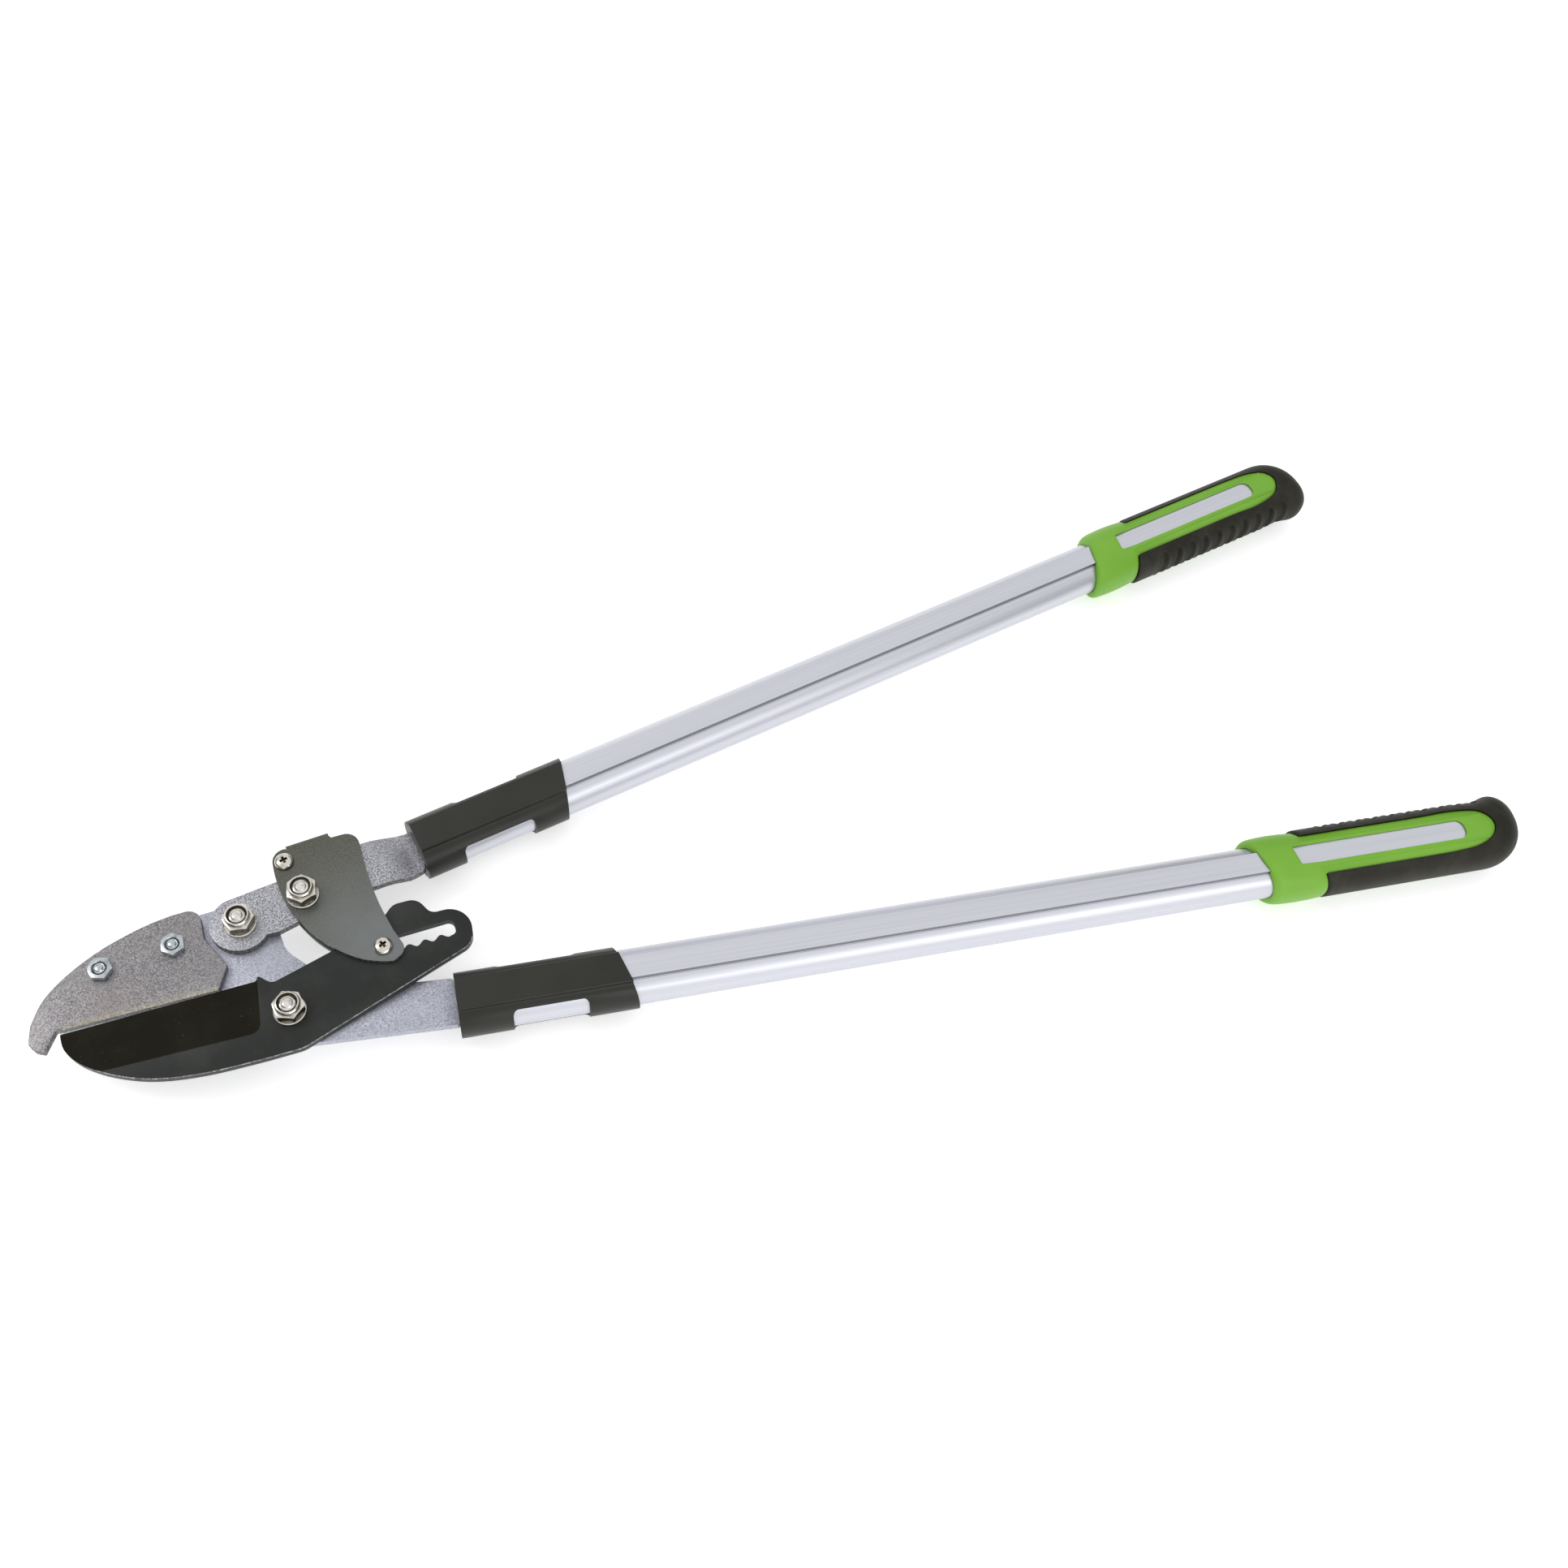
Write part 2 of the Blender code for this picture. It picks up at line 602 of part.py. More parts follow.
def build_link_bracket():
    """Build the link bracket: two cheeks bent from one sheet, joined by a web."""
    left = through([(46.0, 9.4), (37.0, 13.6), (28.2, 20.9), (20.0, 31.0), (14.2, 42.0), (10.4, 53.0),
                    (8.9, 65.0), (8.9, 72.0)], 2)
    top = [(9.6, 82.0, 6.5), (16.6, 83.2, 1.0), (37.6, 84.4, 1.0), (38.4, 80.6, 1.0),
           (50.4, 80.6, 6.5)]
    right = through([(50.4, 71.0), (50.0, 58.0), (51.2, 40.0), (54.0, 24.0)], 2)
    foot = [(57.6, 12.0, 5.0), (50.5, 8.2, 3.0)]
    outline = rounded(left + top + right + foot, 4)
    bores = [circle(LINK_PIVOT, PIVOT_BORE), circle(PIN, PIN_BORE, 12), circle(STOP, PIN_BORE, 12)]
    bracket = plate("link_bracket", [outline, *bores], CHEEK_FRONT_BACK, CHEEK)
    rear = plate("rear_cheek", [outline, *bores], CHEEK_REAR_BACK, CHEEK, CUTTERS)
    web = [(16.8, 83.16), (37.4, 84.32), (37.5, 82.5), (16.9, 81.4)]
    bridge = plate("bracket_web", [web], CHEEK_REAR_BACK + CHEEK / 2,
                   CHEEK_FRONT_TOP - CHEEK_REAR_BACK - CHEEK, CUTTERS)
    join(bracket, rear, bridge)
    finish(bracket, BRACKET_STEEL, LINK_HINGE)


def build_pin(name, place):
    """Build a pin through both cheeks, with a cross-head screw in each end."""
    low = CHEEK_REAR_BACK
    high = CHEEK_FRONT_TOP
    radius = PIN_DIAMETER / 2
    socket = SCREW_SOCKET / 2
    deep = 3.4 * MM
    profile = [(0.0, high - deep), (socket, high - deep), (socket, high), (radius, high),
               (radius, low), (socket, low), (socket, low + deep), (0.0, low + deep)]
    pin = turned(name, place, profile, 16)
    finish(pin, BRIGHT_STEEL, LINK_HINGE, True)
    for end, face, sign in (("front", high, 1), ("rear", low, -1)):
        screw = pan_screw(f"{name}_screw_{end}", place, face, sign, deep)
        finish(screw, BRIGHT_STEEL, LINK_HINGE, True)


def pan_screw(name, place, face, sign, depth):
    """Return a pan-head screw that bears on a face and reaches into a socket."""
    head = SCREW_HEAD / 2
    shank = SCREW_SHANK / 2
    seat = face + sign * GAP
    top = seat + sign * SCREW_HEAD_HEIGHT * MM
    tip = face - sign * (depth - GAP)
    crown = [(0.0, top), (head * 0.55, top - sign * 0.25 * MM), (head * 0.88, top - sign * 0.95 * MM),
             (head, top - sign * 1.8 * MM), (head, seat), (shank, seat), (shank, tip), (0.0, tip)]
    profile = crown if sign > 0 else list(reversed(crown))
    return turned(name, place, profile, 16)


def build_spring():
    """Build the torsion spring that sits round the stop pin between the cheeks."""
    wire = 0.5
    inner = PIN_DIAMETER / 2 + 0.5
    radius = inner + wire
    turns = 3.0
    rise = CHEEK_FRONT_BACK - CHEEK_REAR_FRONT - 2 * GAP - 2 * wire * MM
    start = CHEEK_REAR_FRONT + GAP + wire * MM
    first_angle = math.radians(215.0)
    count = 36
    route = []
    for index in range(count + 1):
        angle = first_angle + 2 * math.pi * turns * index / count
        z = start + rise * index / count
        route.append((STOP[0] + radius * math.cos(angle), STOP[1] + radius * math.sin(angle), z / MM))
    leg = Vector((math.sin(first_angle), -math.cos(first_angle)))
    first = Vector(route[0][:2]) + leg * 4.0
    last = Vector(route[-1][:2]) - leg * 2.2
    route.insert(0, (first.x, first.y, route[0][2]))
    route.append((last.x, last.y, route[-1][2]))
    curve = bpy.data.curves.new("return_spring", "CURVE")
    curve.dimensions = "3D"
    curve.bevel_depth = wire * MM
    curve.bevel_resolution = 1
    curve.use_fill_caps = True
    spline = curve.splines.new("POLY")
    spline.points.add(len(route) - 1)
    for point, place in zip(spline.points, route):
        point.co = (*(c * MM for c in place), 1.0)
    coil = bpy.data.objects.new("return_spring_wire", curve)
    bpy.context.scene.collection.objects.link(coil)
    LAYER.update()
    spring = as_mesh(coil, "return_spring")
    bpy.data.objects.remove(coil, do_unlink=True)
    finish(spring, SPRING_STEEL, LINK_HINGE, True)


# -------------------------------------------------------------- handles
def handle_matrix(side):
    """Return where a handle lies; the lower one (side -1) is a mirror image."""
    mouth = UPPER_MOUTH if side > 0 else LOWER_MOUTH
    place = Matrix.Translation((mouth[0] * MM, mouth[1] * MM, 0.0))
    turn = Matrix.Rotation(math.radians(side * HANDLE_SPREAD), 4, "Z")
    return place @ turn @ Matrix.Diagonal((1.0, side, 1.0, 1.0))


def handle_point(s, across, side):
    """Return a point of a handle, in the tool's millimetres."""
    place = handle_matrix(side) @ Vector((s * MM, across * MM, 0.0))
    return (place.x / MM, place.y / MM)


def put_on_handle(solid, side):
    """Move a mesh from handle measures to its place, and keep it right side out."""
    solid.data.transform(handle_matrix(side))
    tidy_mesh(solid.data, 0.000001)


def lay(solid, side, surface, parent, smooth=True):
    """Lay a handle piece along its handle and finish it."""
    put_on_handle(solid, side)
    finish(solid, surface, parent, smooth)


def grown_section(grow):
    """Return the tube's outer section, grown all round by some millimetres."""
    return tube_section(TUBE_HALF_WIDTH + grow, TUBE_HALF_THICK + grow, FLAT_HALF_WIDTH + grow,
                        FLAT_HEIGHT + grow)


def slant_cutter(s, length):
    """Return a block that trims a handle piece along the slant through s."""
    block = box("slant", (min(s, s + length), -40.0, -25.0), (max(s, s + length), 40.0, 25.0))
    turn_about(block, -SLANT, "Z", (s, 0.0, 0.0))
    return block


def build_tube(name, side, parent):
    """Build one aluminium handle tube, drilled for its rivets."""
    inner = grown_section(-TUBE_WALL)
    tube = bar(name, [grown_section(0.0), inner], TUBE_START, TUBE_END - TUBE_START)
    drills = [plate("tube_drill", [circle((place, 0.0), RIVET_BORE, 12)], -20 * MM, 40 * MM, CUTTERS)
              for place in RIVETS]
    cut(tube, *drills)
    lay(tube, side, ALUMINIUM, parent)


def build_rivets(name, side, parent):
    """Build the rivets that hold the tang in the tube, flush with its flats."""
    length = 2 * (FLAT_HEIGHT - 0.1) * MM
    for end, place in zip(("front", "rear"), RIVETS):
        rivet = plate(f"{name}_{end}", [circle((place, 0.0), RIVET_DIAMETER, 12)], -length / 2, length)
        lay(rivet, side, BRIGHT_STEEL, parent)


def build_sleeve(name, side, parent):
    """Build the plastic sleeve: two face panels and two bands round the edges."""
    clear = GAP / MM
    outer = tube_section(TUBE_HALF_WIDTH + clear + SLEEVE_WALL, TUBE_HALF_THICK + clear + SLEEVE_WALL,
                         FLAT_HALF_WIDTH + 2.9, FLAT_HEIGHT + clear + SLEEVE_PANEL)
    sleeve = bar(name, [outer, grown_section(clear)], 0.0, SLEEVE_LENGTH + 12.0)
    inner_window = box("sleeve_window", (19.5, -20.0, -12.0), (57.0, -9.0, 8.0))
    outer_window = box("sleeve_window", (24.5, 9.0, -10.0), (60.0, 20.0, 10.0))
    cut(sleeve, slant_cutter(SLEEVE_LENGTH, 40.0), inner_window, outer_window)
    lay(sleeve, side, BLACK_PLASTIC, parent)


def face_window(start, end, half_width, depth, front_radius):
    """Return two prisms, round at their far end, that open both faces of a grip."""
    far_radius = half_width - 0.3
    outline = rounded([(start, -half_width, front_radius), (end, -half_width, far_radius),
                       (end, half_width, far_radius), (start, half_width, front_radius)], 6)
    return [plate("face_window", [outline], back * MM, 10 * MM, CUTTERS)
            for back in (depth, -depth - 10)]


def build_shell(name, side, parent):
    """Build the green shell: a collar and a long frame round each face window."""
    clear = GAP / MM
    start = GRIP_RIM - 10.0
    body = tube_section(CORE_HALF_WIDTH, CORE_HALF_THICK, GREEN_HALF_WIDTH, GREEN_FACE)
    shell = bar(name, [body], start, GREEN_END - start)
    round_body = tube_section(COLLAR_HALF_WIDTH, COLLAR_HALF_THICK, GREEN_HALF_WIDTH, GREEN_FACE + 0.3)
    collar = bar("shell_collar", [round_body], start, RUBBER_START + 10.0 - start, CUTTERS)
    cut(collar, slant_cutter(RUBBER_START - clear, 40.0))
    join(shell, collar)
    cavity = bar("shell_cavity", [grown_section(clear)], start - 5.0, TUBE_END + 6.0 - start, CUTTERS)
    windows = face_window(*WINDOW, WINDOW_HALF_WIDTH, 12.0, 2.0)
    cut(shell, cavity, slant_cutter(GRIP_RIM, -40.0), *windows)
    lay(shell, side, GREEN, parent)


def rubber_ring(s, outer, inner, thick):
    """Return one oval of the rubber, wider on the side that faces the other handle."""
    sides = 24
    angles = [2 * math.pi * k / sides for k in range(sides)]
    return [(s, math.cos(a) * (outer if math.cos(a) > 0 else inner), thick * math.sin(a)) for a in angles]


def build_rubber(name, side, parent):
    """Build the rubber: both edges of the grip and its flared round end."""
    clear = GAP / MM
    stations = ((RUBBER_START - 8.0, 17.3, 18.3, 16.4), (RUBBER_START + 6.0, 17.8, 19.2, 17.0),
                (500.0, 17.8, 19.2, 17.0), (530.0, 17.9, 19.8, 17.2), (545.0, 17.2, 20.8, 17.0),
                (553.0, 14.5, 20.0, 15.4), (558.5, 9.5, 16.0, 11.5), (GRIP_END, 3.0, 8.0, 5.0))
    rubber = loft(name, [rubber_ring(*station) for station in stations])
    body = tube_section(CORE_HALF_WIDTH + clear, CORE_HALF_THICK + clear, GREEN_HALF_WIDTH + clear,
                        GREEN_FACE + clear)
    core_start = RUBBER_START - 20.0
    core = bar("rubber_core", [body], core_start, GREEN_END + clear - core_start, CUTTERS)
    faces = face_window(core_start - 5.0, GREEN_END + 2 * clear, GREEN_HALF_WIDTH + 2 * clear, 10.0, 1.0)
    join(core, *faces)
    cut(rubber, slant_cutter(RUBBER_START, -40.0), core)
    lay(rubber, side, RUBBER, parent)


def build_handle(name, side, parent):
    """Build everything on one handle."""
    build_tube(f"{name}_tube", side, parent)
    build_rivets(f"{name}_rivet", side, parent)
    build_sleeve(f"{name}_sleeve", side, parent)
    build_shell(f"{name}_grip_shell", side, parent)
    build_rubber(f"{name}_grip_rubber", side, parent)


def centre_on_floor():
    """Move the tool frame so that the tool lies on z = 0, centred on the origin."""
    LAYER.update()
    corners = [item.matrix_world @ vert.co for item in PARTS.objects if item.type == "MESH"
               for vert in item.data.vertices]
    low = [min(corner[axis] for corner in corners) for axis in range(3)]
    high = [max(corner[axis] for corner in corners) for axis in range(3)]
    TOOL.location = (-(low[0] + high[0]) / 2, -(low[1] + high[1]) / 2, -low[2])
    LAYER.update()


build_base()
build_anvil()
build_blade()
build_lever()
build_pivot("blade_pivot", BLADE_PIVOT, BASE_BACK, JAW_FRONT, True, TOOL)
build_pivot("lever_pivot", LEVER_PIVOT, BASE_BACK, JAW_FRONT, True, TOOL)
build_link_bracket()
build_pivot("link_pivot", LINK_PIVOT, CHEEK_REAR_BACK, CHEEK_FRONT_TOP, False, LEVER_HINGE)
build_pin("link_pin", PIN)
build_pin("stop_pin", STOP)
build_spring()
build_handle("upper", 1, LEVER_HINGE)
build_handle("lower", -1, TOOL)
centre_on_floor()
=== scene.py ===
"""Looks of a pair of ratchet anvil loppers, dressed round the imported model.

Shapes are made in millimetres on the tool's own axes: the blade pivot is the origin, +X runs
back between the handles, +Y points to the upper handle, +Z comes out of the nut side, and
z = 0 is the middle of the handle tubes.  Where those axes stand comes from the frame.
"""

import logging
import math
from dataclasses import dataclass, field
from enum import Enum
from functools import partial
from typing import Callable, ClassVar, Iterable, Sequence, Union

import bmesh
import bpy
from mathutils import Matrix, Vector


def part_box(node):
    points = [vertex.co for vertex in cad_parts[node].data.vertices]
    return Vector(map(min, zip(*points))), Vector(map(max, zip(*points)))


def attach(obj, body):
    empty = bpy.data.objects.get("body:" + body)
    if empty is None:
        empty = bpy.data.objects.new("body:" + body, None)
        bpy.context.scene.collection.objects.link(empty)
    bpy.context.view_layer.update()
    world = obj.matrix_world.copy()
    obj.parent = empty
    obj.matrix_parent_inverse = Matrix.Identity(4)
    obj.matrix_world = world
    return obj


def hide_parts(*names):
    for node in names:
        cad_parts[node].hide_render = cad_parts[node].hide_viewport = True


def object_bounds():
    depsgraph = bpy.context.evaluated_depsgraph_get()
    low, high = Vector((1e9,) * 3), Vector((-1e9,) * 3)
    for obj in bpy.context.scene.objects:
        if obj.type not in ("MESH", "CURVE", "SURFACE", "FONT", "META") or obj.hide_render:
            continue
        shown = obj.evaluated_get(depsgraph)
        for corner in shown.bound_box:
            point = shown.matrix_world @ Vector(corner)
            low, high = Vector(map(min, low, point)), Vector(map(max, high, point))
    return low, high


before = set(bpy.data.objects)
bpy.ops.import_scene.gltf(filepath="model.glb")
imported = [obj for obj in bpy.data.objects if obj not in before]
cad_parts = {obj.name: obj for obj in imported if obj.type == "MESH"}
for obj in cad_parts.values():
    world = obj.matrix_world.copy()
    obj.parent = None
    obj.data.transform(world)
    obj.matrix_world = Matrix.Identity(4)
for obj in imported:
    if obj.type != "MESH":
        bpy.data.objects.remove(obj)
CAD_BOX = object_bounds()

LOG = logging.getLogger("loppers")
MM = 0.001

Point = tuple[float, float]
Corner = tuple[float, float, float]
Colour = tuple[float, float, float]
Number = Union["Wire", float]


# ------------------------------------------------------------------ places
def middle(node: str) -> Vector:
    """Find the middle of a node's box.

    Args:
        node: the node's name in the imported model.

    Returns:
        The middle of its box, in metres.
    """
    low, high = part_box(node)
    return (low + high) / 2


class Body(Enum):
    """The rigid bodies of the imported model."""

    FRAME = "frame"
    BLADE = "blade"
    LEVER = "lever"
    LINK = "link"


@dataclass(frozen=True)
class Bench:
    """The tool's own axes in the frame, and the places that are read from it."""

    front_rivet: ClassVar[float] = 22.0

    @property
    def origin(self) -> Vector:
        """The blade pivot, at the middle height of the handle tubes."""
        pivot = middle("blade_pivot_bolt")
        return Vector((pivot.x, pivot.y, middle("lower_tube").z))

    @property
    def axes(self) -> Matrix:
        """The matrix from the tool's millimetres to the frame's metres."""
        return Matrix.Translation(self.origin) @ Matrix.Scale(MM, 4)

    def plan(self, node: str) -> Point:
        """Find the middle of a node, seen from above.

        Args:
            node: the node's name.

        Returns:
            The place in the tool's millimetres.
        """
        place = self.axes.inverted() @ middle(node)
        return (place.x, place.y)

    def handle(self, name: str) -> Matrix:
        """Find where a handle lies.

        Args:
            name: "upper" or "lower".

        Returns:
            The matrix from a handle's own millimetres (along it from its mouth, outwards, up)
            to the tool's millimetres.  The lower handle is a mirror image.
        """
        front = Vector(self.plan(f"{name}_rivet_front"))
        along = (Vector(self.plan(f"{name}_rivet_rear")) - front).normalized()
        mouth = front - along * self.front_rivet
        side = 1.0 if name == "upper" else -1.0
        return Matrix(((along.x, -along.y * side, 0.0, mouth.x),
                       (along.y, along.x * side, 0.0, mouth.y),
                       (0.0, 0.0, 1.0, 0.0), (0.0, 0.0, 0.0, 1.0)))

    def corner(self, name: str, along: float, across: float, radius: float) -> Corner:
        """Place an outline's corner by where it lies on a handle.

        Args:
            name: "upper" or "lower".
            along: how far it is along the handle, from the mouth.
            across: how far it is outwards from the handle's middle line.
            radius: the corner's radius.

        Returns:
            The corner in the tool's millimetres.
        """
        place = self.handle(name) @ Vector((along, across, 0.0))
        return (place.x, place.y, radius)


BENCH = Bench()
LENGTHWISE = Matrix(((0.0, 0.0, 1.0, 0.0), (1.0, 0.0, 0.0, 0.0), (0.0, 1.0, 0.0, 0.0), (0.0, 0.0, 0.0, 1.0)))


@dataclass(frozen=True)
class Stack:
    """Heights of the plates and of what lies between them, in millimetres."""

    base_back: float = -2.0
    base_front: float = 2.0
    jaw_back: float = 2.3
    jaw_front: float = 6.3
    cheek_back: float = 6.6
    cheek_front: float = 8.4
    rear_cheek_back: float = 0.2
    rear_cheek_front: float = 2.0
    gap: float = 0.3


STACK = Stack()


# ---------------------------------------------------------------- outlines
def rounded(corners: Sequence[Corner]) -> list[Point]:
    """Turn corners into a closed outline with true arcs.

    Args:
        corners: the (x, y, radius) of each corner.

    Returns:
        The outline's points.
    """
    facet = math.radians(7.0)
    points: list[Point] = []
    count = len(corners)
    for index, (x, y, radius) in enumerate(corners):
        here = Vector((x, y))
        before = (Vector(corners[index - 1][:2]) - here).normalized()
        after = (Vector(corners[(index + 1) % count][:2]) - here).normalized()
        half = before.angle(after) / 2
        if radius <= 0 or half > math.radians(89.5):
            points.append((x, y))
            continue
        centre = here + (before + after).normalized() * radius / math.sin(half)
        first = here + before * radius / math.tan(half) - centre
        last = here + after * radius / math.tan(half) - centre
        sweep = first.angle_signed(last)
        steps = max(2, math.ceil(abs(sweep) / facet))
        for step in range(steps + 1):
            turn = Matrix.Rotation(-sweep * step / steps, 2)
            points.append(tuple(centre + turn @ first))
    return points


def through(knots: Sequence[Point], steps: int = 9) -> list[Corner]:
    """Draw a smooth curve through some knots.

    Args:
        knots: the points that the curve passes.
        steps: how many points each stretch gets.

    Returns:
        Corners of no radius along the curve.
    """
    ends = [Vector(knots[0]), *(Vector(k) for k in knots), Vector(knots[-1])]
    points: list[Corner] = []
    for index in range(1, len(ends) - 2):
        p0, p1, p2, p3 = ends[index - 1:index + 3]
        for step in range(steps):
            t = step / steps
            place = (p1 * 2 + (p2 - p0) * t + (p0 * 2 - p1 * 5 + p2 * 4 - p3) * t * t
                     + (p1 * 3 - p0 - p2 * 3 + p3) * t ** 3) / 2
            points.append((place.x, place.y, 0.0))
    points.append((*knots[-1], 0.0))
    return points


def arc(centre: Point, radius: float, start: float, end: float, count: int = 40) -> list[Corner]:
    """Lay corners of no radius on an arc between two angles in degrees."""
    angles = [math.radians(start + (end - start) * k / count) for k in range(count + 1)]
    return [(centre[0] + radius * math.cos(a), centre[1] + radius * math.sin(a), 0.0) for a in angles]


def circle(centre: Point, diameter: float, count: int = 48) -> list[Point]:
    """Lay points on a whole circle."""
    return [(x, y) for x, y, _ in arc(centre, diameter / 2, 0.0, 360.0, count)[:-1]]


def oval(half_width: float, half_thick: float, flat_half: float, flat_top: float, crest: float,
         root: float, notch: float = 0.0) -> list[Point]:
    """Draw an oval with a raised flat on each face.

    Args:
        half_width: half the oval's width.
        half_thick: half the oval's thickness, without the flats.
        flat_half: half the width of a flat.
        flat_top: the height of a flat over the middle.
        crest: the radius along a flat's edges.
        root: the radius in the corner where a flat rises from the oval.
        notch: how deep the corner is sunk.

    Returns:
        The section's points, as (across, up).
    """
    sides = 22
    meet = math.acos((flat_half + root) / half_width)
    foot = half_thick * math.sin(math.acos(flat_half / half_width)) - notch
    right = [(-meet + 2 * meet * k / sides) for k in range(sides + 1)]
    side = [(half_width * math.cos(a), half_thick * math.sin(a), 0.0) for a in right]
    top = [(flat_half, foot, root * 0.7), (flat_half, flat_top, crest), (-flat_half, flat_top, crest),
           (-flat_half, foot, root * 0.7)]
    half = side + top
    other = [(-x, -y, radius) for x, y, radius in half]
    return rounded(half + other)


# ------------------------------------------------------------------- forms
class Carving(Enum):
    """Ways in which one solid changes another."""

    CUT = "DIFFERENCE"
    JOIN = "UNION"
    KEEP = "INTERSECT"


@dataclass
class Form:
    """A shape in the making, in millimetres, on the axes of whoever makes it."""

    mesh: bmesh.types.BMesh = field(default_factory=bmesh.new)

    def prism(self, outline: Sequence[Point], low: float, high: float, front: float = 0.0,
              back: float = 0.0, segments: int = 2) -> "Form":
        """Add a flat plate with rounded rims.

        Args:
            outline: its edge, seen from above.
            low: the height of its back.
            high: the height of its front.
            front: the radius along the front rim.
            back: the radius along the back rim.
            segments: how many facets a rim gets.

        Returns:
            The form itself.
        """
        ring = [self.mesh.verts.new((x, y, low)) for x, y in outline]
        face = self.mesh.faces.new(ring)
        raised = bmesh.ops.extrude_face_region(self.mesh, geom=[face])["geom"]
        top = [item for item in raised if isinstance(item, bmesh.types.BMVert)]
        bmesh.ops.translate(self.mesh, vec=(0.0, 0.0, high - low), verts=top)
        bmesh.ops.recalc_face_normals(self.mesh, faces=self.mesh.faces)
        self.round_rim(high, front, segments)
        self.round_rim(low, back, segments)
        return self

    def round_rim(self, height: float, radius: float, segments: int = 2) -> "Form":
        """Round the rim that lies at one height.

        Args:
            height: the rim's height.
            radius: the radius, or 0 for a sharp rim.
            segments: how many facets it gets.

        Returns:
            The form itself.
        """
        if radius <= 0:
            return self
        slack = 1e-4
        rim = [edge for edge in self.mesh.edges
               if all(abs(vert.co.z - height) < slack for vert in edge.verts)
               and any(abs(face.normal.z) < 0.5 for face in edge.link_faces)]
        bmesh.ops.bevel(self.mesh, geom=rim, offset=radius, offset_type="OFFSET", affect="EDGES",
                        segments=segments, profile=0.5, material=-1, clamp_overlap=True)
        return self

    def turn(self, profile: Sequence[Point], centre: Point = (0.0, 0.0), steps: int = 40) -> "Form":
        """Add a solid of revolution about an upright axis.

        Args:
            profile: its (radius, height) points, from axis to axis.
            centre: where the axis stands, seen from above.
            steps: how many facets go round.

        Returns:
            The form itself.
        """
        x, y = centre
        line = [self.mesh.verts.new((x + radius, y, height)) for radius, height in profile]
        edges = [self.mesh.edges.new(pair) for pair in zip(line, line[1:])]
        bmesh.ops.spin(self.mesh, geom=line + edges, cent=(x, y, 0.0), axis=(0.0, 0.0, 1.0),
                       dvec=(0.0, 0.0, 0.0), angle=2 * math.pi, steps=steps, use_merge=True)
        bmesh.ops.remove_doubles(self.mesh, verts=self.mesh.verts, dist=1e-4)
        bmesh.ops.recalc_face_normals(self.mesh, faces=self.mesh.faces)
        return self

    def loft(self, rings: Sequence[Sequence[Vector]]) -> "Form":
        """Add a closed skin over rings of points, capped at both ends.

        Args:
            rings: the rings, with the same number of points each.

        Returns:
            The form itself.
        """
        loops = []
        for ring in rings:
            corners = [self.mesh.verts.new(point) for point in ring]
            loops.append([self.mesh.edges.new(pair) for pair in zip(corners, corners[1:] + corners[:1])])
        for first, second in zip(loops, loops[1:]):
            bmesh.ops.bridge_loops(self.mesh, edges=first + second)
        for loop in (loops[0], loops[-1]):
            bmesh.ops.edgeloop_fill(self.mesh, edges=loop)
        bmesh.ops.recalc_face_normals(self.mesh, faces=self.mesh.faces)
        return self

    def hexagon(self, across_flats: float, low: float, high: float, spin: float,
                centre: Point = (0.0, 0.0)) -> "Form":
        """Add a six-sided prism.

        Args:
            across_flats: its width over two flats.
            low: the height of its back.
            high: the height of its front.
            spin: how far it is turned, in degrees.
            centre: where it stands, seen from above.

        Returns:
            The form itself.
        """
        radius = across_flats / math.sqrt(3)
        place = Matrix.Translation((*centre, (low + high) / 2)) @ Matrix.Rotation(math.radians(spin), 4, "Z")
        bmesh.ops.create_cone(self.mesh, cap_ends=True, segments=6, radius1=radius, radius2=radius,
                              depth=high - low, matrix=place)
        return self

    def paint(self, index: int, where: Callable[[Vector, Vector], bool]) -> "Form":
        """Give some faces another of the piece's finishes.

        Args:
            index: which finish.
            where: tells from a face's middle and normal whether it takes it.

        Returns:
            The form itself.
        """
        self.mesh.normal_update()
        for face in self.mesh.faces:
            if where(face.calc_center_median(), face.normal):
                face.material_index = index
        return self

    def take(self, other: "Form") -> "Form":
        """Take in another form, which is used up."""
        spare = bpy.data.meshes.new("spare")
        other.mesh.to_mesh(spare)
        other.mesh.free()
        self.mesh.from_mesh(spare)
        bpy.data.meshes.remove(spare)
        return self

    def move(self, matrix: Matrix) -> "Form":
        """Move every point, and keep the faces pointing out through a mirror."""
        bmesh.ops.transform(self.mesh, matrix=matrix, verts=self.mesh.verts)
        if matrix.determinant() < 0:
            bmesh.ops.reverse_faces(self.mesh, faces=self.mesh.faces)
        return self

    def solid(self, name: str, finishes: Sequence["Finish"] = ()) -> bpy.types.Object:
        """Turn the form into an object, still in millimetres.

        Args:
            name: the object's name.
            finishes: its finishes, by the index that its faces have.

        Returns:
            The object, linked to the scene.
        """
        mesh = bpy.data.meshes.new(name)
        for finish in finishes:
            mesh.materials.append(finish.material())
        self.mesh.to_mesh(mesh)
        self.mesh.free()
        solid = bpy.data.objects.new(name, mesh)
        bpy.context.scene.collection.objects.link(solid)
        return solid


def evaluated_mesh(solid: bpy.types.Object) -> bpy.types.Mesh:
    """Return a new mesh with a solid's modifiers applied."""
    bpy.context.view_layer.update()
    graph = bpy.context.evaluated_depsgraph_get()
    return bpy.data.meshes.new_from_object(solid.evaluated_get(graph))


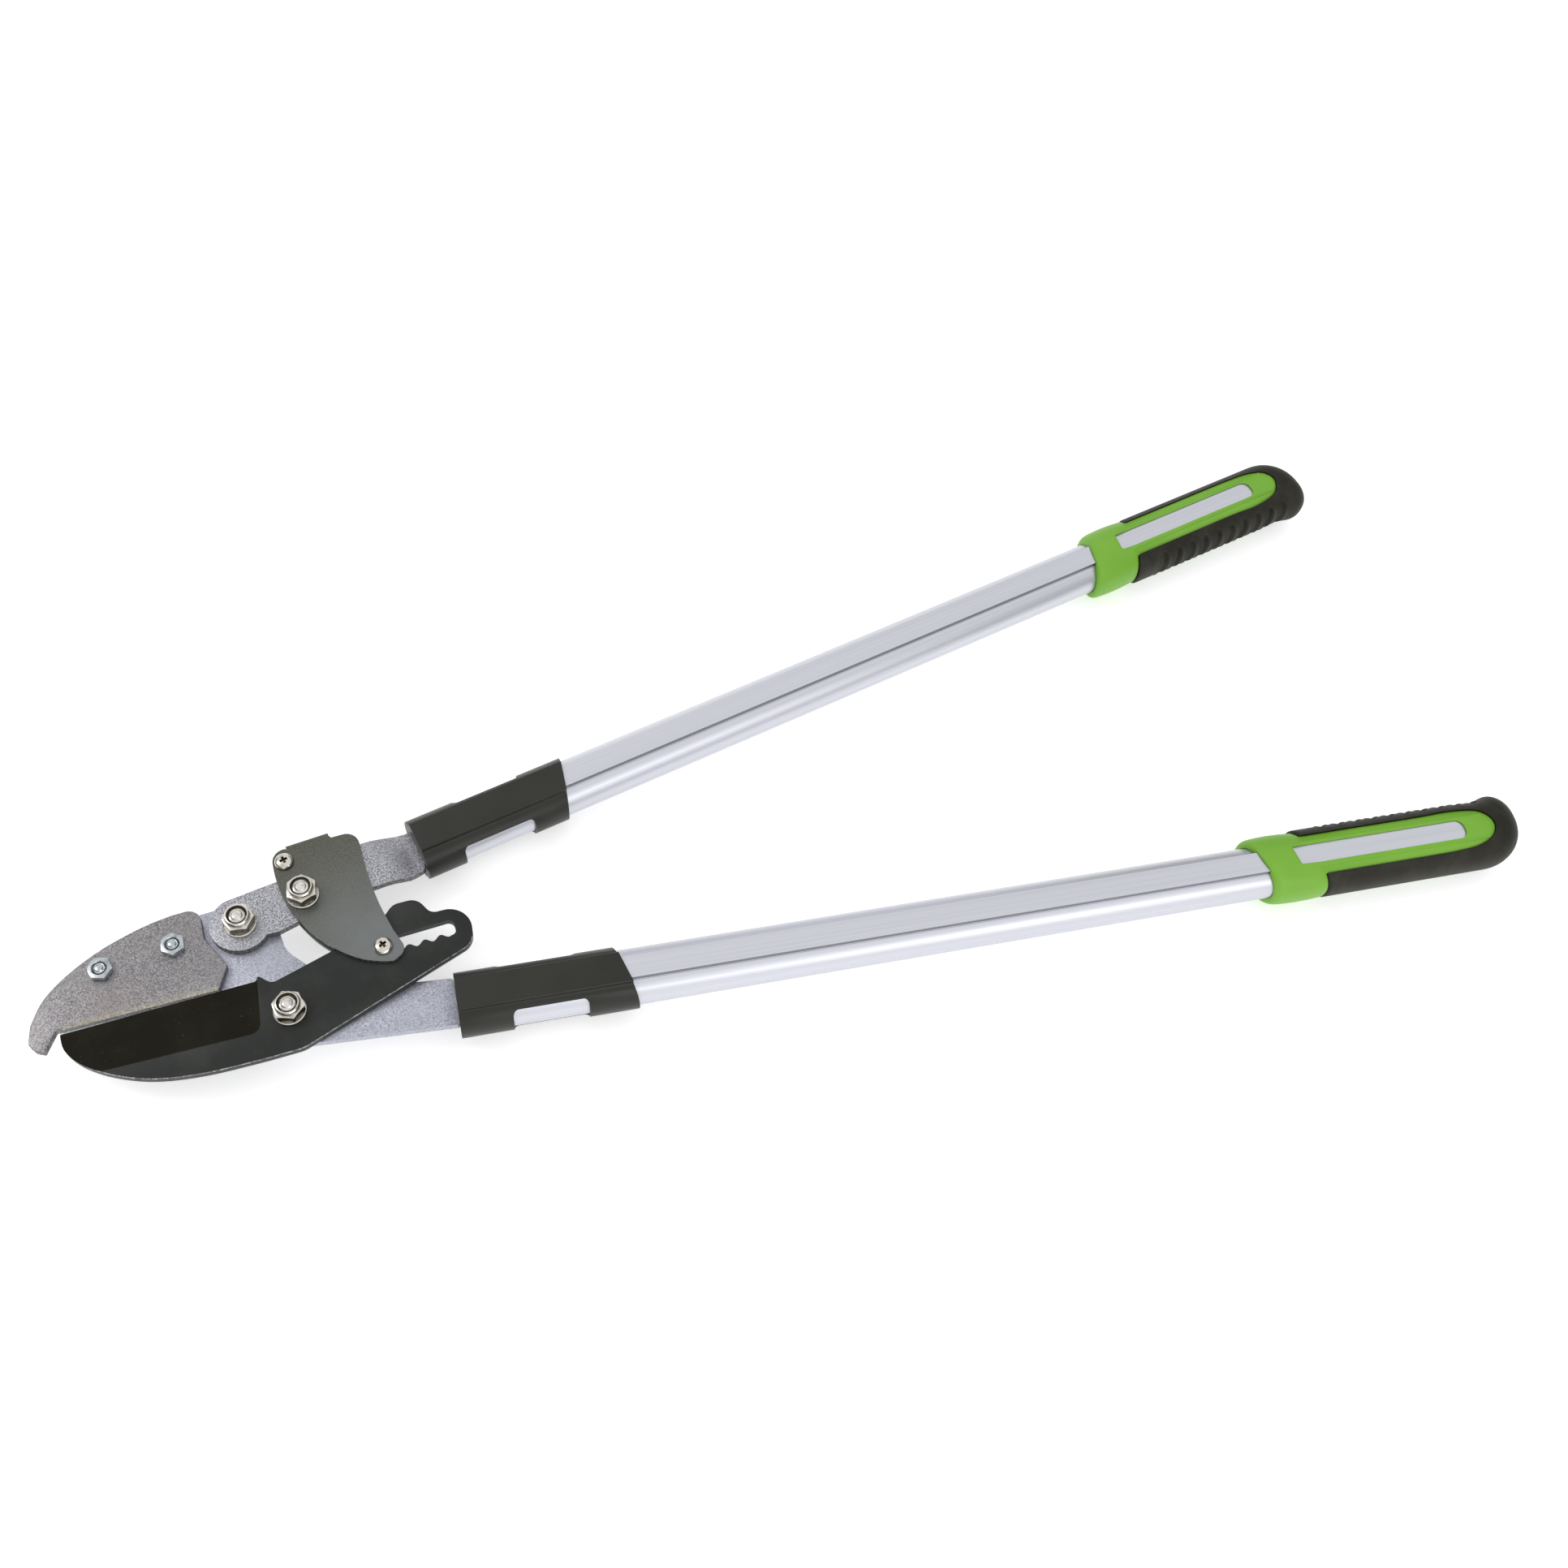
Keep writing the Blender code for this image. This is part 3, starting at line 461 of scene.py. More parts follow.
def carve(target: bpy.types.Object, carving: Carving, tools: Iterable[Form]) -> bpy.types.Object:
    """Change a solid with others, which are used up.

    Args:
        target: the solid that is changed.
        carving: what the tools do to it.
        tools: the forms that do it.

    Returns:
        The target, with its new mesh.
    """
    used = [tool.solid("tool") for tool in tools]
    for tool in used:
        for material in target.data.materials:
            tool.data.materials.append(material)
        change = target.modifiers.new("carve", "BOOLEAN")
        change.operation = carving.value
        change.object = tool
    mesh = evaluated_mesh(target)
    target.modifiers.clear()
    target.data = mesh
    for tool in used:
        bpy.data.objects.remove(tool, do_unlink=True)
    return target


def soften(solid: bpy.types.Object, width: float, angle: float = 35.0, segments: int = 2) -> None:
    """Round every edge of a solid that is sharper than an angle.

    Args:
        solid: the solid, in millimetres.
        width: the width of the rounding.
        angle: the least angle that is rounded, in degrees.
        segments: how many facets each rounding gets.
    """
    bevel = solid.modifiers.new("soften", "BEVEL")
    bevel.width = width
    bevel.segments = segments
    bevel.limit_method = "ANGLE"
    bevel.angle_limit = math.radians(angle)
    bevel.use_clamp_overlap = True
    bevel.loop_slide = True
    solid.data = evaluated_mesh(solid)
    solid.modifiers.clear()


# ---------------------------------------------------------------- finishes
class Wire:
    """A socket that reads like a number: each operator adds the Math node that it stands for."""

    def __init__(self, nodes: "Nodes", socket: bpy.types.NodeSocket) -> None:
        """Wrap one output socket of some nodes."""
        self.nodes = nodes
        self.socket = socket

    def _math(self, operation: str, first: Number, second: Number) -> "Wire":
        """Add a Math node on two numbers or sockets."""
        return self.nodes.node("ShaderNodeMath", {"operation": operation}, {0: first, 1: second})

    def __add__(self, other: Number) -> "Wire":
        """Add a number or a socket."""
        return self._math("ADD", self, other)

    __radd__ = __add__

    def __sub__(self, other: Number) -> "Wire":
        """Take away a number or a socket."""
        return self._math("SUBTRACT", self, other)

    def __rsub__(self, other: Number) -> "Wire":
        """Take this socket from a number."""
        return self._math("SUBTRACT", other, self)

    def __mul__(self, other: Number) -> "Wire":
        """Multiply by a number or a socket."""
        return self._math("MULTIPLY", self, other)

    __rmul__ = __mul__


class Nodes:
    """The nodes of one material, or of the tent of light."""

    def __init__(self, tree: bpy.types.NodeTree) -> None:
        """Start on the nodes that a tree already holds."""
        self.tree = tree

    def node(self, kind: str, settings: dict, inputs: dict, output: Union[int, str] = 0) -> Wire:
        """Add a node.

        Args:
            kind: the node's type.
            settings: its settings; "stops" are a ramp's (place, colour) pairs.
            inputs: a value or a link for each of its sockets, by name or number.
            output: which of its outputs is wanted.

        Returns:
            That output.
        """
        made = self.tree.nodes.new(kind)
        for name, value in settings.items():
            if name != "stops":
                setattr(made, name, value)
                continue
            ramp = made.color_ramp
            while len(ramp.elements) < len(value):
                ramp.elements.new(1.0)
            for element, (place, colour) in zip(ramp.elements, value):
                element.position = place
                element.color = (*colour, 1.0)
        for name, value in inputs.items():
            self.feed(made.inputs[name], value)
        return Wire(self, made.outputs[output])

    def feed(self, socket: bpy.types.NodeSocket, value: Union[Wire, float, Sequence[float]]) -> None:
        """Link a wire to a socket, or set the socket's own value."""
        if isinstance(value, Wire):
            self.tree.links.new(value.socket, socket)
        elif isinstance(value, tuple) and socket.type == "RGBA":
            socket.default_value = (*value, 1.0)
        else:
            socket.default_value = value

    def sharpen(self, value: Wire, low: float, high: float) -> Wire:
        """Stretch a range of numbers to 0 to 1, and cut what is outside."""
        return self.node("ShaderNodeMapRange", {"clamp": True, "interpolation_type": "SMOOTHSTEP"},
                         {"Value": value, "From Min": low, "From Max": high})


class Surface(Nodes):
    """The nodes of one material."""

    def __init__(self, name: str) -> None:
        """Start a material with its Principled shader."""
        self.material = bpy.data.materials.new(name)
        self.material.use_nodes = True
        super().__init__(self.material.node_tree)
        self.shader = self.tree.nodes["Principled BSDF"]

    def set(self, **inputs: Union[Wire, float, Sequence[float]]) -> None:
        """Set the shader's sockets, with _ for a space in their names."""
        for name, value in inputs.items():
            self.feed(self.shader.inputs[name.replace("_", " ")], value)

    def point(self, scale: Sequence[float] = (1.0, 1.0, 1.0), turn: float = 0.0) -> Wire:
        """Return the place on the object, turned about Z and stretched.

        Args:
            scale: how much each direction is stretched.
            turn: the turn about Z, in degrees.

        Returns:
            The place.
        """
        place = self.node("ShaderNodeTexCoord", {}, {}, "Object")
        turned = self.node("ShaderNodeVectorRotate", {"rotation_type": "Z_AXIS"},
                           {"Vector": place, "Angle": math.radians(turn)})
        return self.node("ShaderNodeVectorMath", {"operation": "MULTIPLY"}, {0: turned, 1: tuple(scale)})

    def noise(self, place: Wire, scale: float, detail: float = 3.0, rough: float = 0.55) -> Wire:
        """Return cloudy noise, as numbers round one half."""
        return self.node("ShaderNodeTexNoise", {"noise_dimensions": "3D"},
                         {"Vector": place, "Scale": scale, "Detail": detail, "Roughness": rough}, "Fac")

    def blend(self, mask: Wire, first: Union[Wire, Colour], second: Union[Wire, Colour]) -> Wire:
        """Mix two colours by a mask."""
        return self.node("ShaderNodeMix", {"data_type": "RGBA"}, {0: mask, 6: first, 7: second}, 2)

    def ramp(self, value: Wire, stops: Sequence[tuple[float, Colour]]) -> Wire:
        """Turn a number into a colour."""
        return self.node("ShaderNodeValToRGB", {"stops": stops}, {"Fac": value})

    def near(self, place: Sequence[float], reach: float) -> Wire:
        """Return a mask that is 1 at a place and fades to 0 at some reach, in metres."""
        here = self.node("ShaderNodeTexCoord", {}, {}, "Object")
        away = self.node("ShaderNodeVectorMath", {"operation": "DISTANCE"}, {0: here, 1: tuple(place)},
                         "Value")
        return 1.0 - self.sharpen(away, 0.0, reach)

    def bump(self, height: Wire, strength: float, distance: float) -> None:
        """Raise the surface by a height, in metres at full strength."""
        normal = self.node("ShaderNodeBump", {}, {"Strength": strength, "Distance": distance,
                                                  "Height": height}, "Normal")
        self.set(Normal=normal)


@dataclass(frozen=True)
class Finish:
    """What a piece is made of.  Each kind of finish dresses its own surface."""

    name: str
    slot: str
    _made: ClassVar[dict[str, bpy.types.Material]] = {}

    def dress(self, surface: Surface) -> None:
        """Lay out the nodes of the finish."""
        raise NotImplementedError

    def material(self) -> bpy.types.Material:
        """Return the material, which is made once."""
        if self.name not in self._made:
            surface = Surface(self.name)
            self.dress(surface)
            self._made[self.name] = surface.material
        return self._made[self.name]


@dataclass(frozen=True)
class SpeckledSteel(Finish):
    """Plated or bare steel plate, with a grain of light and dark specks, soft clouds and, where placed, a
    painted sheen.
    """

    light: Colour = (0.62, 0.63, 0.68)
    dark: Colour = (0.26, 0.27, 0.31)
    cloud: Colour = (0.40, 0.41, 0.46)
    grain: float = 1500.0
    shine: float = 0.36
    rust: Union[tuple[float, float, float], None] = None
    # Where a painted sheen is lightest, how far it reaches and its tone.
    sheen_place: Union[tuple[float, float, float], None] = None
    sheen_reach: float = 0.075
    sheen_tone: Colour = (0.21, 0.22, 0.22)

    def dress(self, surface: Surface) -> None:
        """Mix specks and clouds, a touch of rust where there is some, and a painted sheen where one is
        placed.
        """
        place = surface.point()
        specks = surface.noise(place, self.grain, 4.0, 0.75)
        clouds = surface.noise(place, 55.0, 4.0, 0.6)
        grains = surface.ramp(surface.sharpen(specks, 0.36, 0.66),
                              [(0.0, self.dark), (0.45, self.cloud), (1.0, self.light)])
        colour = surface.blend(surface.sharpen(clouds, 0.35, 0.75) * 0.45, grains, self.cloud)
        if self.rust:
            stain = surface.sharpen(surface.noise(place, 260.0, 5.0, 0.7), 0.40, 0.70)
            spot = surface.near(self.rust, 0.022) * stain
            colour = surface.blend(spot * 0.34, colour, (0.27, 0.16, 0.08))
        # A lighter tone that fades out round a place: a painted sheen.
        if self.sheen_place:
            sheen = surface.near(self.sheen_place, self.sheen_reach) * (0.55 + clouds * 0.7)
            colour = surface.blend(sheen, colour, self.sheen_tone)
        surface.set(Base_Color=colour, Metallic=0.85, Roughness=self.shine + specks * 0.16)
        surface.bump(specks, 0.35, 0.0001)


@dataclass(frozen=True)
class CoatedSteel(Finish):
    """Dark low-friction coating with a fine satin tooth."""

    tone: Colour = (0.011, 0.013, 0.011)
    worn: Colour = (0.024, 0.026, 0.023)
    shine: float = 0.34
    gloss: float = 0.30

    def dress(self, surface: Surface) -> None:
        """Lay a fine tooth over slow clouds of wear."""
        place = surface.point()
        tooth = surface.noise(place, 2200.0, 3.0, 0.7)
        clouds = surface.noise(place, 38.0, 5.0, 0.6)
        colour = surface.blend(surface.sharpen(clouds, 0.42, 0.72), self.tone, self.worn)
        fleck = surface.sharpen(surface.noise(place, 900.0, 2.0, 0.5), 0.70, 0.78)
        colour = surface.blend(fleck * 0.25, colour, (0.20, 0.19, 0.16))
        surface.set(Base_Color=colour, Roughness=self.shine + tooth * 0.14, Specular_IOR_Level=self.gloss)
        surface.bump(tooth, 0.3, 0.00006)


@dataclass(frozen=True)
class BrightSteel(Finish):
    """Bright plated steel of nuts, bolts and screws, with fine turning marks and dull patches."""

    tone: Colour = (0.66, 0.63, 0.56)
    dull: Colour = (0.34, 0.31, 0.25)
    shine: float = 0.16

    def dress(self, surface: Surface) -> None:
        """Lay dull patches over bright metal."""
        place = surface.point()
        patches = surface.sharpen(surface.noise(place, 420.0, 4.0, 0.6), 0.45, 0.70)
        marks = surface.noise(surface.point((1.0, 1.0, 9.0)), 1300.0, 2.0, 0.5)
        colour = surface.blend(patches * 0.6, self.tone, self.dull)
        surface.set(Base_Color=colour, Metallic=1.0, Roughness=self.shine + patches * 0.16)
        surface.bump(marks, 0.25, 0.00006)


@dataclass(frozen=True)
class AnodisedTube(Finish):
    """Satin anodised extrusion, with faint draw lines along its length."""

    turn: float = 0.0
    tone: Colour = (0.62, 0.625, 0.675)
    line: Colour = (0.575, 0.58, 0.63)

    def dress(self, surface: Surface) -> None:
        """Draw long faint lines along the tube."""
        along = surface.point((4.0, 900.0, 900.0), self.turn)
        lines = surface.noise(along, 1.0, 3.0, 0.6)
        grain = surface.noise(surface.point(), 2600.0, 2.0, 0.5)
        colour = surface.blend(surface.sharpen(lines, 0.35, 0.70), self.tone, self.line)
        surface.set(Base_Color=colour, Metallic=0.82, Roughness=0.33 + lines * 0.10)
        surface.bump(lines * 0.5 + grain * 0.5, 0.15, 0.00003)


@dataclass(frozen=True)
class Moulding(Finish):
    """Moulded plastic, with a fine texture, slow shade changes and a soft shine."""

    tone: Colour = (0.20, 0.47, 0.05)
    shade: Colour = (0.16, 0.42, 0.05)
    shine: float = 0.36
    grain: float = 1900.0
    depth: float = 0.00005
    gloss: float = 0.5

    def dress(self, surface: Surface) -> None:
        """Lay a moulded grain over slow shade changes."""
        place = surface.point()
        grain = surface.noise(place, self.grain, 3.0, 0.6)
        slow = surface.noise(place, 30.0, 3.0, 0.5)
        colour = surface.blend(surface.sharpen(slow, 0.35, 0.70), self.tone, self.shade)
        surface.set(Base_Color=colour, Roughness=self.shine + grain * 0.12 + slow * 0.06,
                    Specular_IOR_Level=self.gloss)
        surface.bump(grain, 0.35, self.depth)


@dataclass(frozen=True)
class SoftRubber(Finish):
    """Matt rubber with a fine skin and a little dust in it."""

    tone: Colour = (0.014, 0.013, 0.007)
    dust: Colour = (0.027, 0.026, 0.018)

    def dress(self, surface: Surface) -> None:
        """Dust a fine skin."""
        place = surface.point()
        skin = surface.noise(place, 1700.0, 4.0, 0.7)
        slow = surface.noise(place, 70.0, 4.0, 0.6)
        colour = surface.blend(surface.sharpen(slow, 0.40, 0.75), self.tone, self.dust)
        surface.set(Base_Color=colour, Roughness=0.44 + skin * 0.2, Specular_IOR_Level=0.24)
        surface.bump(skin, 0.4, 0.00008)


@dataclass(frozen=True)
class PaleFloor(Finish):
    """The plain pale floor of the studio."""

    tone: Colour = (0.80, 0.80, 0.80)
    glow: float = 0.50

    def dress(self, surface: Surface) -> None:
        """Keep it plain, with the faintest unevenness, lit a little from below like a light table."""
        slow = surface.noise(surface.point(), 3.0, 2.0, 0.5)
        shade = tuple(channel * 0.985 for channel in self.tone)
        surface.set(Base_Color=surface.blend(slow, self.tone, shade), Roughness=0.9,
                    Specular_IOR_Level=0.0, Emission_Color=(1.0, 1.0, 1.0), Emission_Strength=self.glow)


ZINC = SpeckledSteel("zinc_plate", "zinc_plate", light=(0.62, 0.63, 0.70), dark=(0.26, 0.27, 0.33),
                     cloud=(0.43, 0.435, 0.50))
LEVER_ZINC = SpeckledSteel("pressed_zinc", "zinc_plate", light=(0.62, 0.62, 0.65), dark=(0.12, 0.12, 0.135),
                           cloud=(0.36, 0.36, 0.39), grain=1250.0, shine=0.28)
# Brighter zinc for the lever's rounded rims: a painted highlight.
LEVER_RIM_HIGHLIGHT = SpeckledSteel("painted_rim_highlight", "zinc_plate", light=(0.85, 0.84, 0.82), dark=(0.30, 0.30, 0.29),
                            cloud=(0.62, 0.61, 0.60), grain=700.0, shine=0.20)
RUST_SPOT = BENCH.axes @ Vector((-72.0, 25.5, 6.3))
BARE_STEEL = SpeckledSteel("bare_plate", "anvil_steel", light=(0.42, 0.40, 0.41), dark=(0.13, 0.12, 0.125),
                           cloud=(0.26, 0.25, 0.255), grain=1400.0, shine=0.36, rust=tuple(RUST_SPOT))
STRIKE_STEEL = SpeckledSteel("strike_edge", "anvil_steel", light=(0.52, 0.48, 0.41), dark=(0.22, 0.20, 0.16),
                             cloud=(0.36, 0.34, 0.29), grain=900.0, shine=0.28)
COATING = CoatedSteel("blade_coating", "coated_blade")
GROUND = CoatedSteel("ground_coating", "coated_blade", tone=(0.007, 0.006, 0.002), worn=(0.012, 0.011, 0.005),
                     shine=0.20, gloss=0.10)
WORN_EDGE = SpeckledSteel("worn_edge", "coated_blade", light=(0.52, 0.52, 0.50), dark=(0.08, 0.08, 0.08),
                          cloud=(0.24, 0.24, 0.23), grain=700.0, shine=0.28)
# Where the bracket's painted sheen is lightest: by the link pin, on the front cheek.
LINK_FOOT = BENCH.axes @ Vector((*BENCH.plan("link_pin"), STACK.cheek_front))
OLIVE = SpeckledSteel("blued_sheet", "bracket_steel", light=(0.150, 0.150, 0.124), dark=(0.066, 0.066, 0.050),
                      cloud=(0.104, 0.104, 0.084), grain=1700.0, shine=0.27, sheen_place=tuple(LINK_FOOT),
                      sheen_tone=(0.185, 0.195, 0.195))
# Light steel for the bracket's rims on its right and lower sides: a painted highlight.
BRACKET_RIM_HIGHLIGHT = SpeckledSteel("painted_bracket_highlight", "bracket_steel", light=(0.80, 0.79, 0.75), dark=(0.30, 0.29, 0.26),
                           cloud=(0.55, 0.54, 0.50), grain=800.0, shine=0.20)
NICKEL = BrightSteel("nickel_plate", "bright_fastener")
BOLT_END = BrightSteel("bolt_end", "bright_fastener", tone=(0.72, 0.70, 0.66), dull=(0.26, 0.23, 0.18))
# Near-black steel for the screws' cross recesses: painted shade.
RECESS_SHADE = BrightSteel("painted_recess_shade", "bright_fastener", tone=(0.10, 0.09, 0.07), dull=(0.03, 0.03, 0.02),
                     shine=0.4)
THIN_ZINC = BrightSteel("zinc_nut", "bright_fastener", tone=(0.50, 0.54, 0.56), dull=(0.16, 0.18, 0.19),
                        shine=0.22)
DARK_NICKEL = BrightSteel("shaded_nickel", "bright_fastener", tone=(0.22, 0.205, 0.17),
                          dull=(0.06, 0.055, 0.045), shine=0.18)
# Dark steel for the plates' cut side walls: painted shade.
WALL_SHADE = SpeckledSteel("painted_wall_shade", "zinc_plate", light=(0.34, 0.34, 0.34), dark=(0.05, 0.05, 0.05),
                        cloud=(0.15, 0.15, 0.15), grain=900.0, shine=0.40)
# Dark grey for the step walls beside each tube flat: painted shade in the crease.
CREASE_SHADE: Colour = (0.26, 0.265, 0.30)
NYLON = Moulding("nylon_ring", "bright_fastener", tone=(0.020, 0.017, 0.014), shade=(0.012, 0.012, 0.011))
SPRING = BrightSteel("spring_wire", "spring_steel", tone=(0.34, 0.34, 0.34), dull=(0.16, 0.16, 0.16),
                     shine=0.24)
BRONZE = BrightSteel("bush_bronze", "bush_bronze", tone=(0.55, 0.38, 0.18), dull=(0.30, 0.20, 0.10),
                     shine=0.3)
SLEEVE_BLACK = Moulding("sleeve_black", "black_sleeve", tone=(0.012, 0.012, 0.008),
                        shade=(0.018, 0.018, 0.013), shine=0.30, grain=1500.0, gloss=0.38)
LIME = Moulding("shell_green", "green_shell", tone=(0.185, 0.430, 0.032), shade=(0.165, 0.405, 0.028),
                gloss=0.4)
RUBBER = SoftRubber("grip_rubber", "black_rubber")


# ------------------------------------------------------------------ pieces
def shade(mesh: bpy.types.Mesh, angle: float) -> None:
    """Shade a mesh smooth, apart from edges sharper than an angle in degrees."""
    mesh.shade_smooth()
    mesh.set_sharp_from_angle(angle=math.radians(angle))


def put(solid: bpy.types.Object, node: str, body: Body, finishes: Sequence[Finish],
        place: Matrix = Matrix.Identity(4), angle: float = 30.0) -> bpy.types.Object:
    """Finish a piece, put it in its place and hand it to its body.

    Args:
        solid: the piece, in millimetres.
        node: the node that it stands for.
        body: the body that it moves with.
        finishes: its finishes, by face.
        place: from the piece's millimetres to the tool's.
        angle: edges sharper than this, in degrees, stay sharp in the shading.

    Returns:
        The piece.
    """
    work = bmesh.new()
    work.from_mesh(solid.data)
    bmesh.ops.transform(work, matrix=BENCH.axes @ place, verts=work.verts)
    if place.determinant() < 0:
        bmesh.ops.reverse_faces(work, faces=work.faces)
    work.to_mesh(solid.data)
    work.free()
    for finish in finishes[len(solid.data.materials):]:
        solid.data.materials.append(finish.material())
    shade(solid.data, angle)
    solid.name = f"{node}_looks"
    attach(solid, body.value)
    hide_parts(node)
    LOG.info("%s rides on %s: %d faces", solid.name, body.value, len(solid.data.polygons))
    return solid


def keep(node: str, finish: Finish) -> None:
    """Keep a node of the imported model, and give it a better finish."""
    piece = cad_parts[node]
    for index in range(len(piece.data.materials)):
        piece.data.materials[index] = finish.material()
    LOG.info("%s is kept, in %s", node, finish.name)


@dataclass
class Fastener:
    """Sizes of a hexagon bolt and nut, in millimetres."""

    across_flats: float
    shank: float
    head: float
    nut: float
    chamfer: float = 0.55

    def chamfered_hexagon(self, centre: Point, low: float, high: float, spin: float,
                          finishes: Sequence[Finish] = ()) -> bpy.types.Object:
        """Make a hexagon whose corners are turned off at both ends.

        Args:
            centre: where it stands.
            low: the height of its back.
            high: the height of its front.
            spin: how far it is turned, in degrees.
            finishes: its finishes, of which the last is for its six flats.

        Returns:
            The solid.
        """
        corner = self.across_flats / math.sqrt(3) + 0.05
        end = self.across_flats / 2 - 0.1
        barrel = [(0.0, high), (end, high), (corner, high - self.chamfer), (corner, low + self.chamfer),
                  (end, low), (0.0, low)]
        form = Form().hexagon(self.across_flats, low, high, spin, centre)
        if finishes:
            form.paint(len(finishes) - 1, lambda spot, normal: abs(normal.z) < 0.1)
        blank = form.solid("hexagon", finishes)
        return carve(blank, Carving.KEEP, [Form().turn(barrel, centre, 60)])

    def bolt(self, node: str, body: Body, clamp_face: float, tip: float, finish: Finish, spin: float) -> None:
        """Make the bolt: its head behind the plates, and its domed end in the nut.

        Args:
            node: the bolt's node.
            body: the body that it rides on.
            clamp_face: the height of the face that its head bears on.
            tip: the height where its end starts to round.
            finish: its finish.
            spin: how far its head is turned, in degrees.
        """
        centre = BENCH.plan(node)
        top = clamp_face - STACK.gap
        radius = self.shank / 2
        head = self.chamfered_hexagon(centre, top - self.head, top, spin)
        washer_face = [(0.0, top + 0.02), (radius * 1.6, top + 0.02), (radius * 1.6, top - 0.5),
                       (0.0, top - 0.5)]
        end = [(0.0, tip + 0.75), (radius * 0.30, tip + 0.70), (radius * 0.58, tip + 0.52),
               (radius * 0.70, tip + 0.12), (radius * 0.80, tip + 0.16), (radius * 0.94, tip - 0.10),
               (radius, tip - 0.5)]
        threads = []
        pitch = 1.25
        turns = int((tip - top - 1.0) / pitch)
        for index in range(turns):
            start = tip - 0.6 - index * pitch
            threads += [(radius, start), (radius - 0.45, start - pitch / 2), (radius, start - pitch + 0.05)]
        stem = end + threads + [(radius, top - 1.0), (0.0, top - 1.0)]
        dimple = [(0.0, top - self.head + 0.35), (radius * 0.9, top - self.head + 0.35),
                  (radius * 1.05, top - self.head - 0.2), (0.0, top - self.head - 0.2)]
        carve(head, Carving.CUT, [Form().turn(dimple, centre, 32)])
        carve(head, Carving.JOIN, [Form().turn(washer_face, centre, 32), Form().turn(stem, centre, 36)])
        put(head, node, body, [finish])


@dataclass
class Pivot:
    """One of the three large pivots: a washer and a lock nut on a bolt, and a bush."""

    name: str
    body: Body
    clamp_face: float
    front_face: float
    spin: float
    bushed: bool = True
    sizes: Fastener = field(default_factory=lambda: Fastener(13.0, 7.7, 5.3, 8.0))
    washer: float = 1.2
    washer_diameter: float = 15.3
    bore: float = 8.4
    hexagon: float = 5.4
    collar: float = 11.8
    dressing: Finish = NICKEL

    def build(self) -> None:
        """Make every piece of the pivot."""
        centre = BENCH.plan(f"{self.name}_bolt")
        washer_back = self.front_face + STACK.gap
        nut_back = washer_back + self.washer + STACK.gap
        self.build_washer(centre, washer_back)
        self.build_nut(centre, nut_back)
        self.sizes.bolt(f"{self.name}_bolt", self.body, self.clamp_face, nut_back + self.sizes.nut - 0.9,
                        BOLT_END, self.spin + 20.0)
        if self.bushed:
            keep(f"{self.name}_bush", BRONZE)

    def build_washer(self, centre: Point, back: float) -> None:
        """Make the washer, with soft stamped rims."""
        half = self.washer_diameter / 2
        hole = self.bore / 2
        top = back + self.washer
        ring = [(hole, back), (hole, top - 0.15), (hole + 0.2, top), (half - 0.5, top),
                (half - 0.1, top - 0.25), (half, top - 0.5), (half, back + 0.2), (half - 0.2, back),
                (hole, back)]
        put(Form().turn(ring, centre, 64).solid("washer"), f"{self.name}_washer", self.body, [self.dressing])

    def build_nut(self, centre: Point, back: float) -> None:
        """Make the lock nut: a hexagon under a crimped round collar that holds a nylon ring."""
        top = back + self.sizes.nut
        half = self.collar / 2
        hole = self.bore / 2
        waist = back + self.hexagon
        finishes = (self.dressing, NYLON, DARK_NICKEL)
        nut = self.sizes.chamfered_hexagon(centre, back, waist, self.spin, finishes)
        collar = [(0.0, top - 1.3), (hole + 0.35, top - 1.3), (hole + 0.75, top - 0.25), (half - 1.15, top),
                  (half - 0.6, top - 0.1), (half - 0.2, top - 0.5), (half, top - 1.3), (half, waist - 0.6),
                  (0.0, waist - 0.6)]
        carve(nut, Carving.JOIN, [Form().turn(collar, centre, 60)])
        drill = [(0.0, top + 1.0), (hole, top + 1.0), (hole, back - 1.0), (0.0, back - 1.0)]
        carve(nut, Carving.CUT, [Form().turn(drill, centre, 40)])
        seat = [(0.0, top - 0.5), (hole + 0.62, top - 0.5), (hole + 0.40, top - 1.35), (0.0, top - 1.35)]
        sunk = Form().turn(seat, centre, 40)
        sunk.paint(1, lambda spot, normal: True)
        carve(nut, Carving.CUT, [sunk])
        put(nut, f"{self.name}_nut", self.body, finishes)


@dataclass
class AnvilFixing:
    """A small bolt and thin nut that clamp the anvil to the base plate."""

    end: str
    spin: float
    sizes: Fastener = field(default_factory=lambda: Fastener(10.0, 5.7, 4.0, 3.2, chamfer=0.45))

    def build(self) -> None:
        """Make the nut and the bolt."""
        node = f"anvil_nut_{self.end}"
        centre = BENCH.plan(node)
        back = STACK.jaw_front + STACK.gap
        top = back + self.sizes.nut
        nut = self.sizes.chamfered_hexagon(centre, back, top, self.spin)
        hole = self.sizes.shank / 2 + 0.3
        drill = [(0.0, top + 1.0), (hole + 0.5, top + 0.2), (hole, top - 0.4), (hole, back - 1.0),
                 (0.0, back - 1.0)]
        carve(nut, Carving.CUT, [Form().turn(drill, centre, 40)])
        put(nut, node, Body.FRAME, [THIN_ZINC])
        self.sizes.bolt(f"anvil_bolt_{self.end}", Body.FRAME, STACK.base_back, top - 0.25, THIN_ZINC,
                        self.spin)


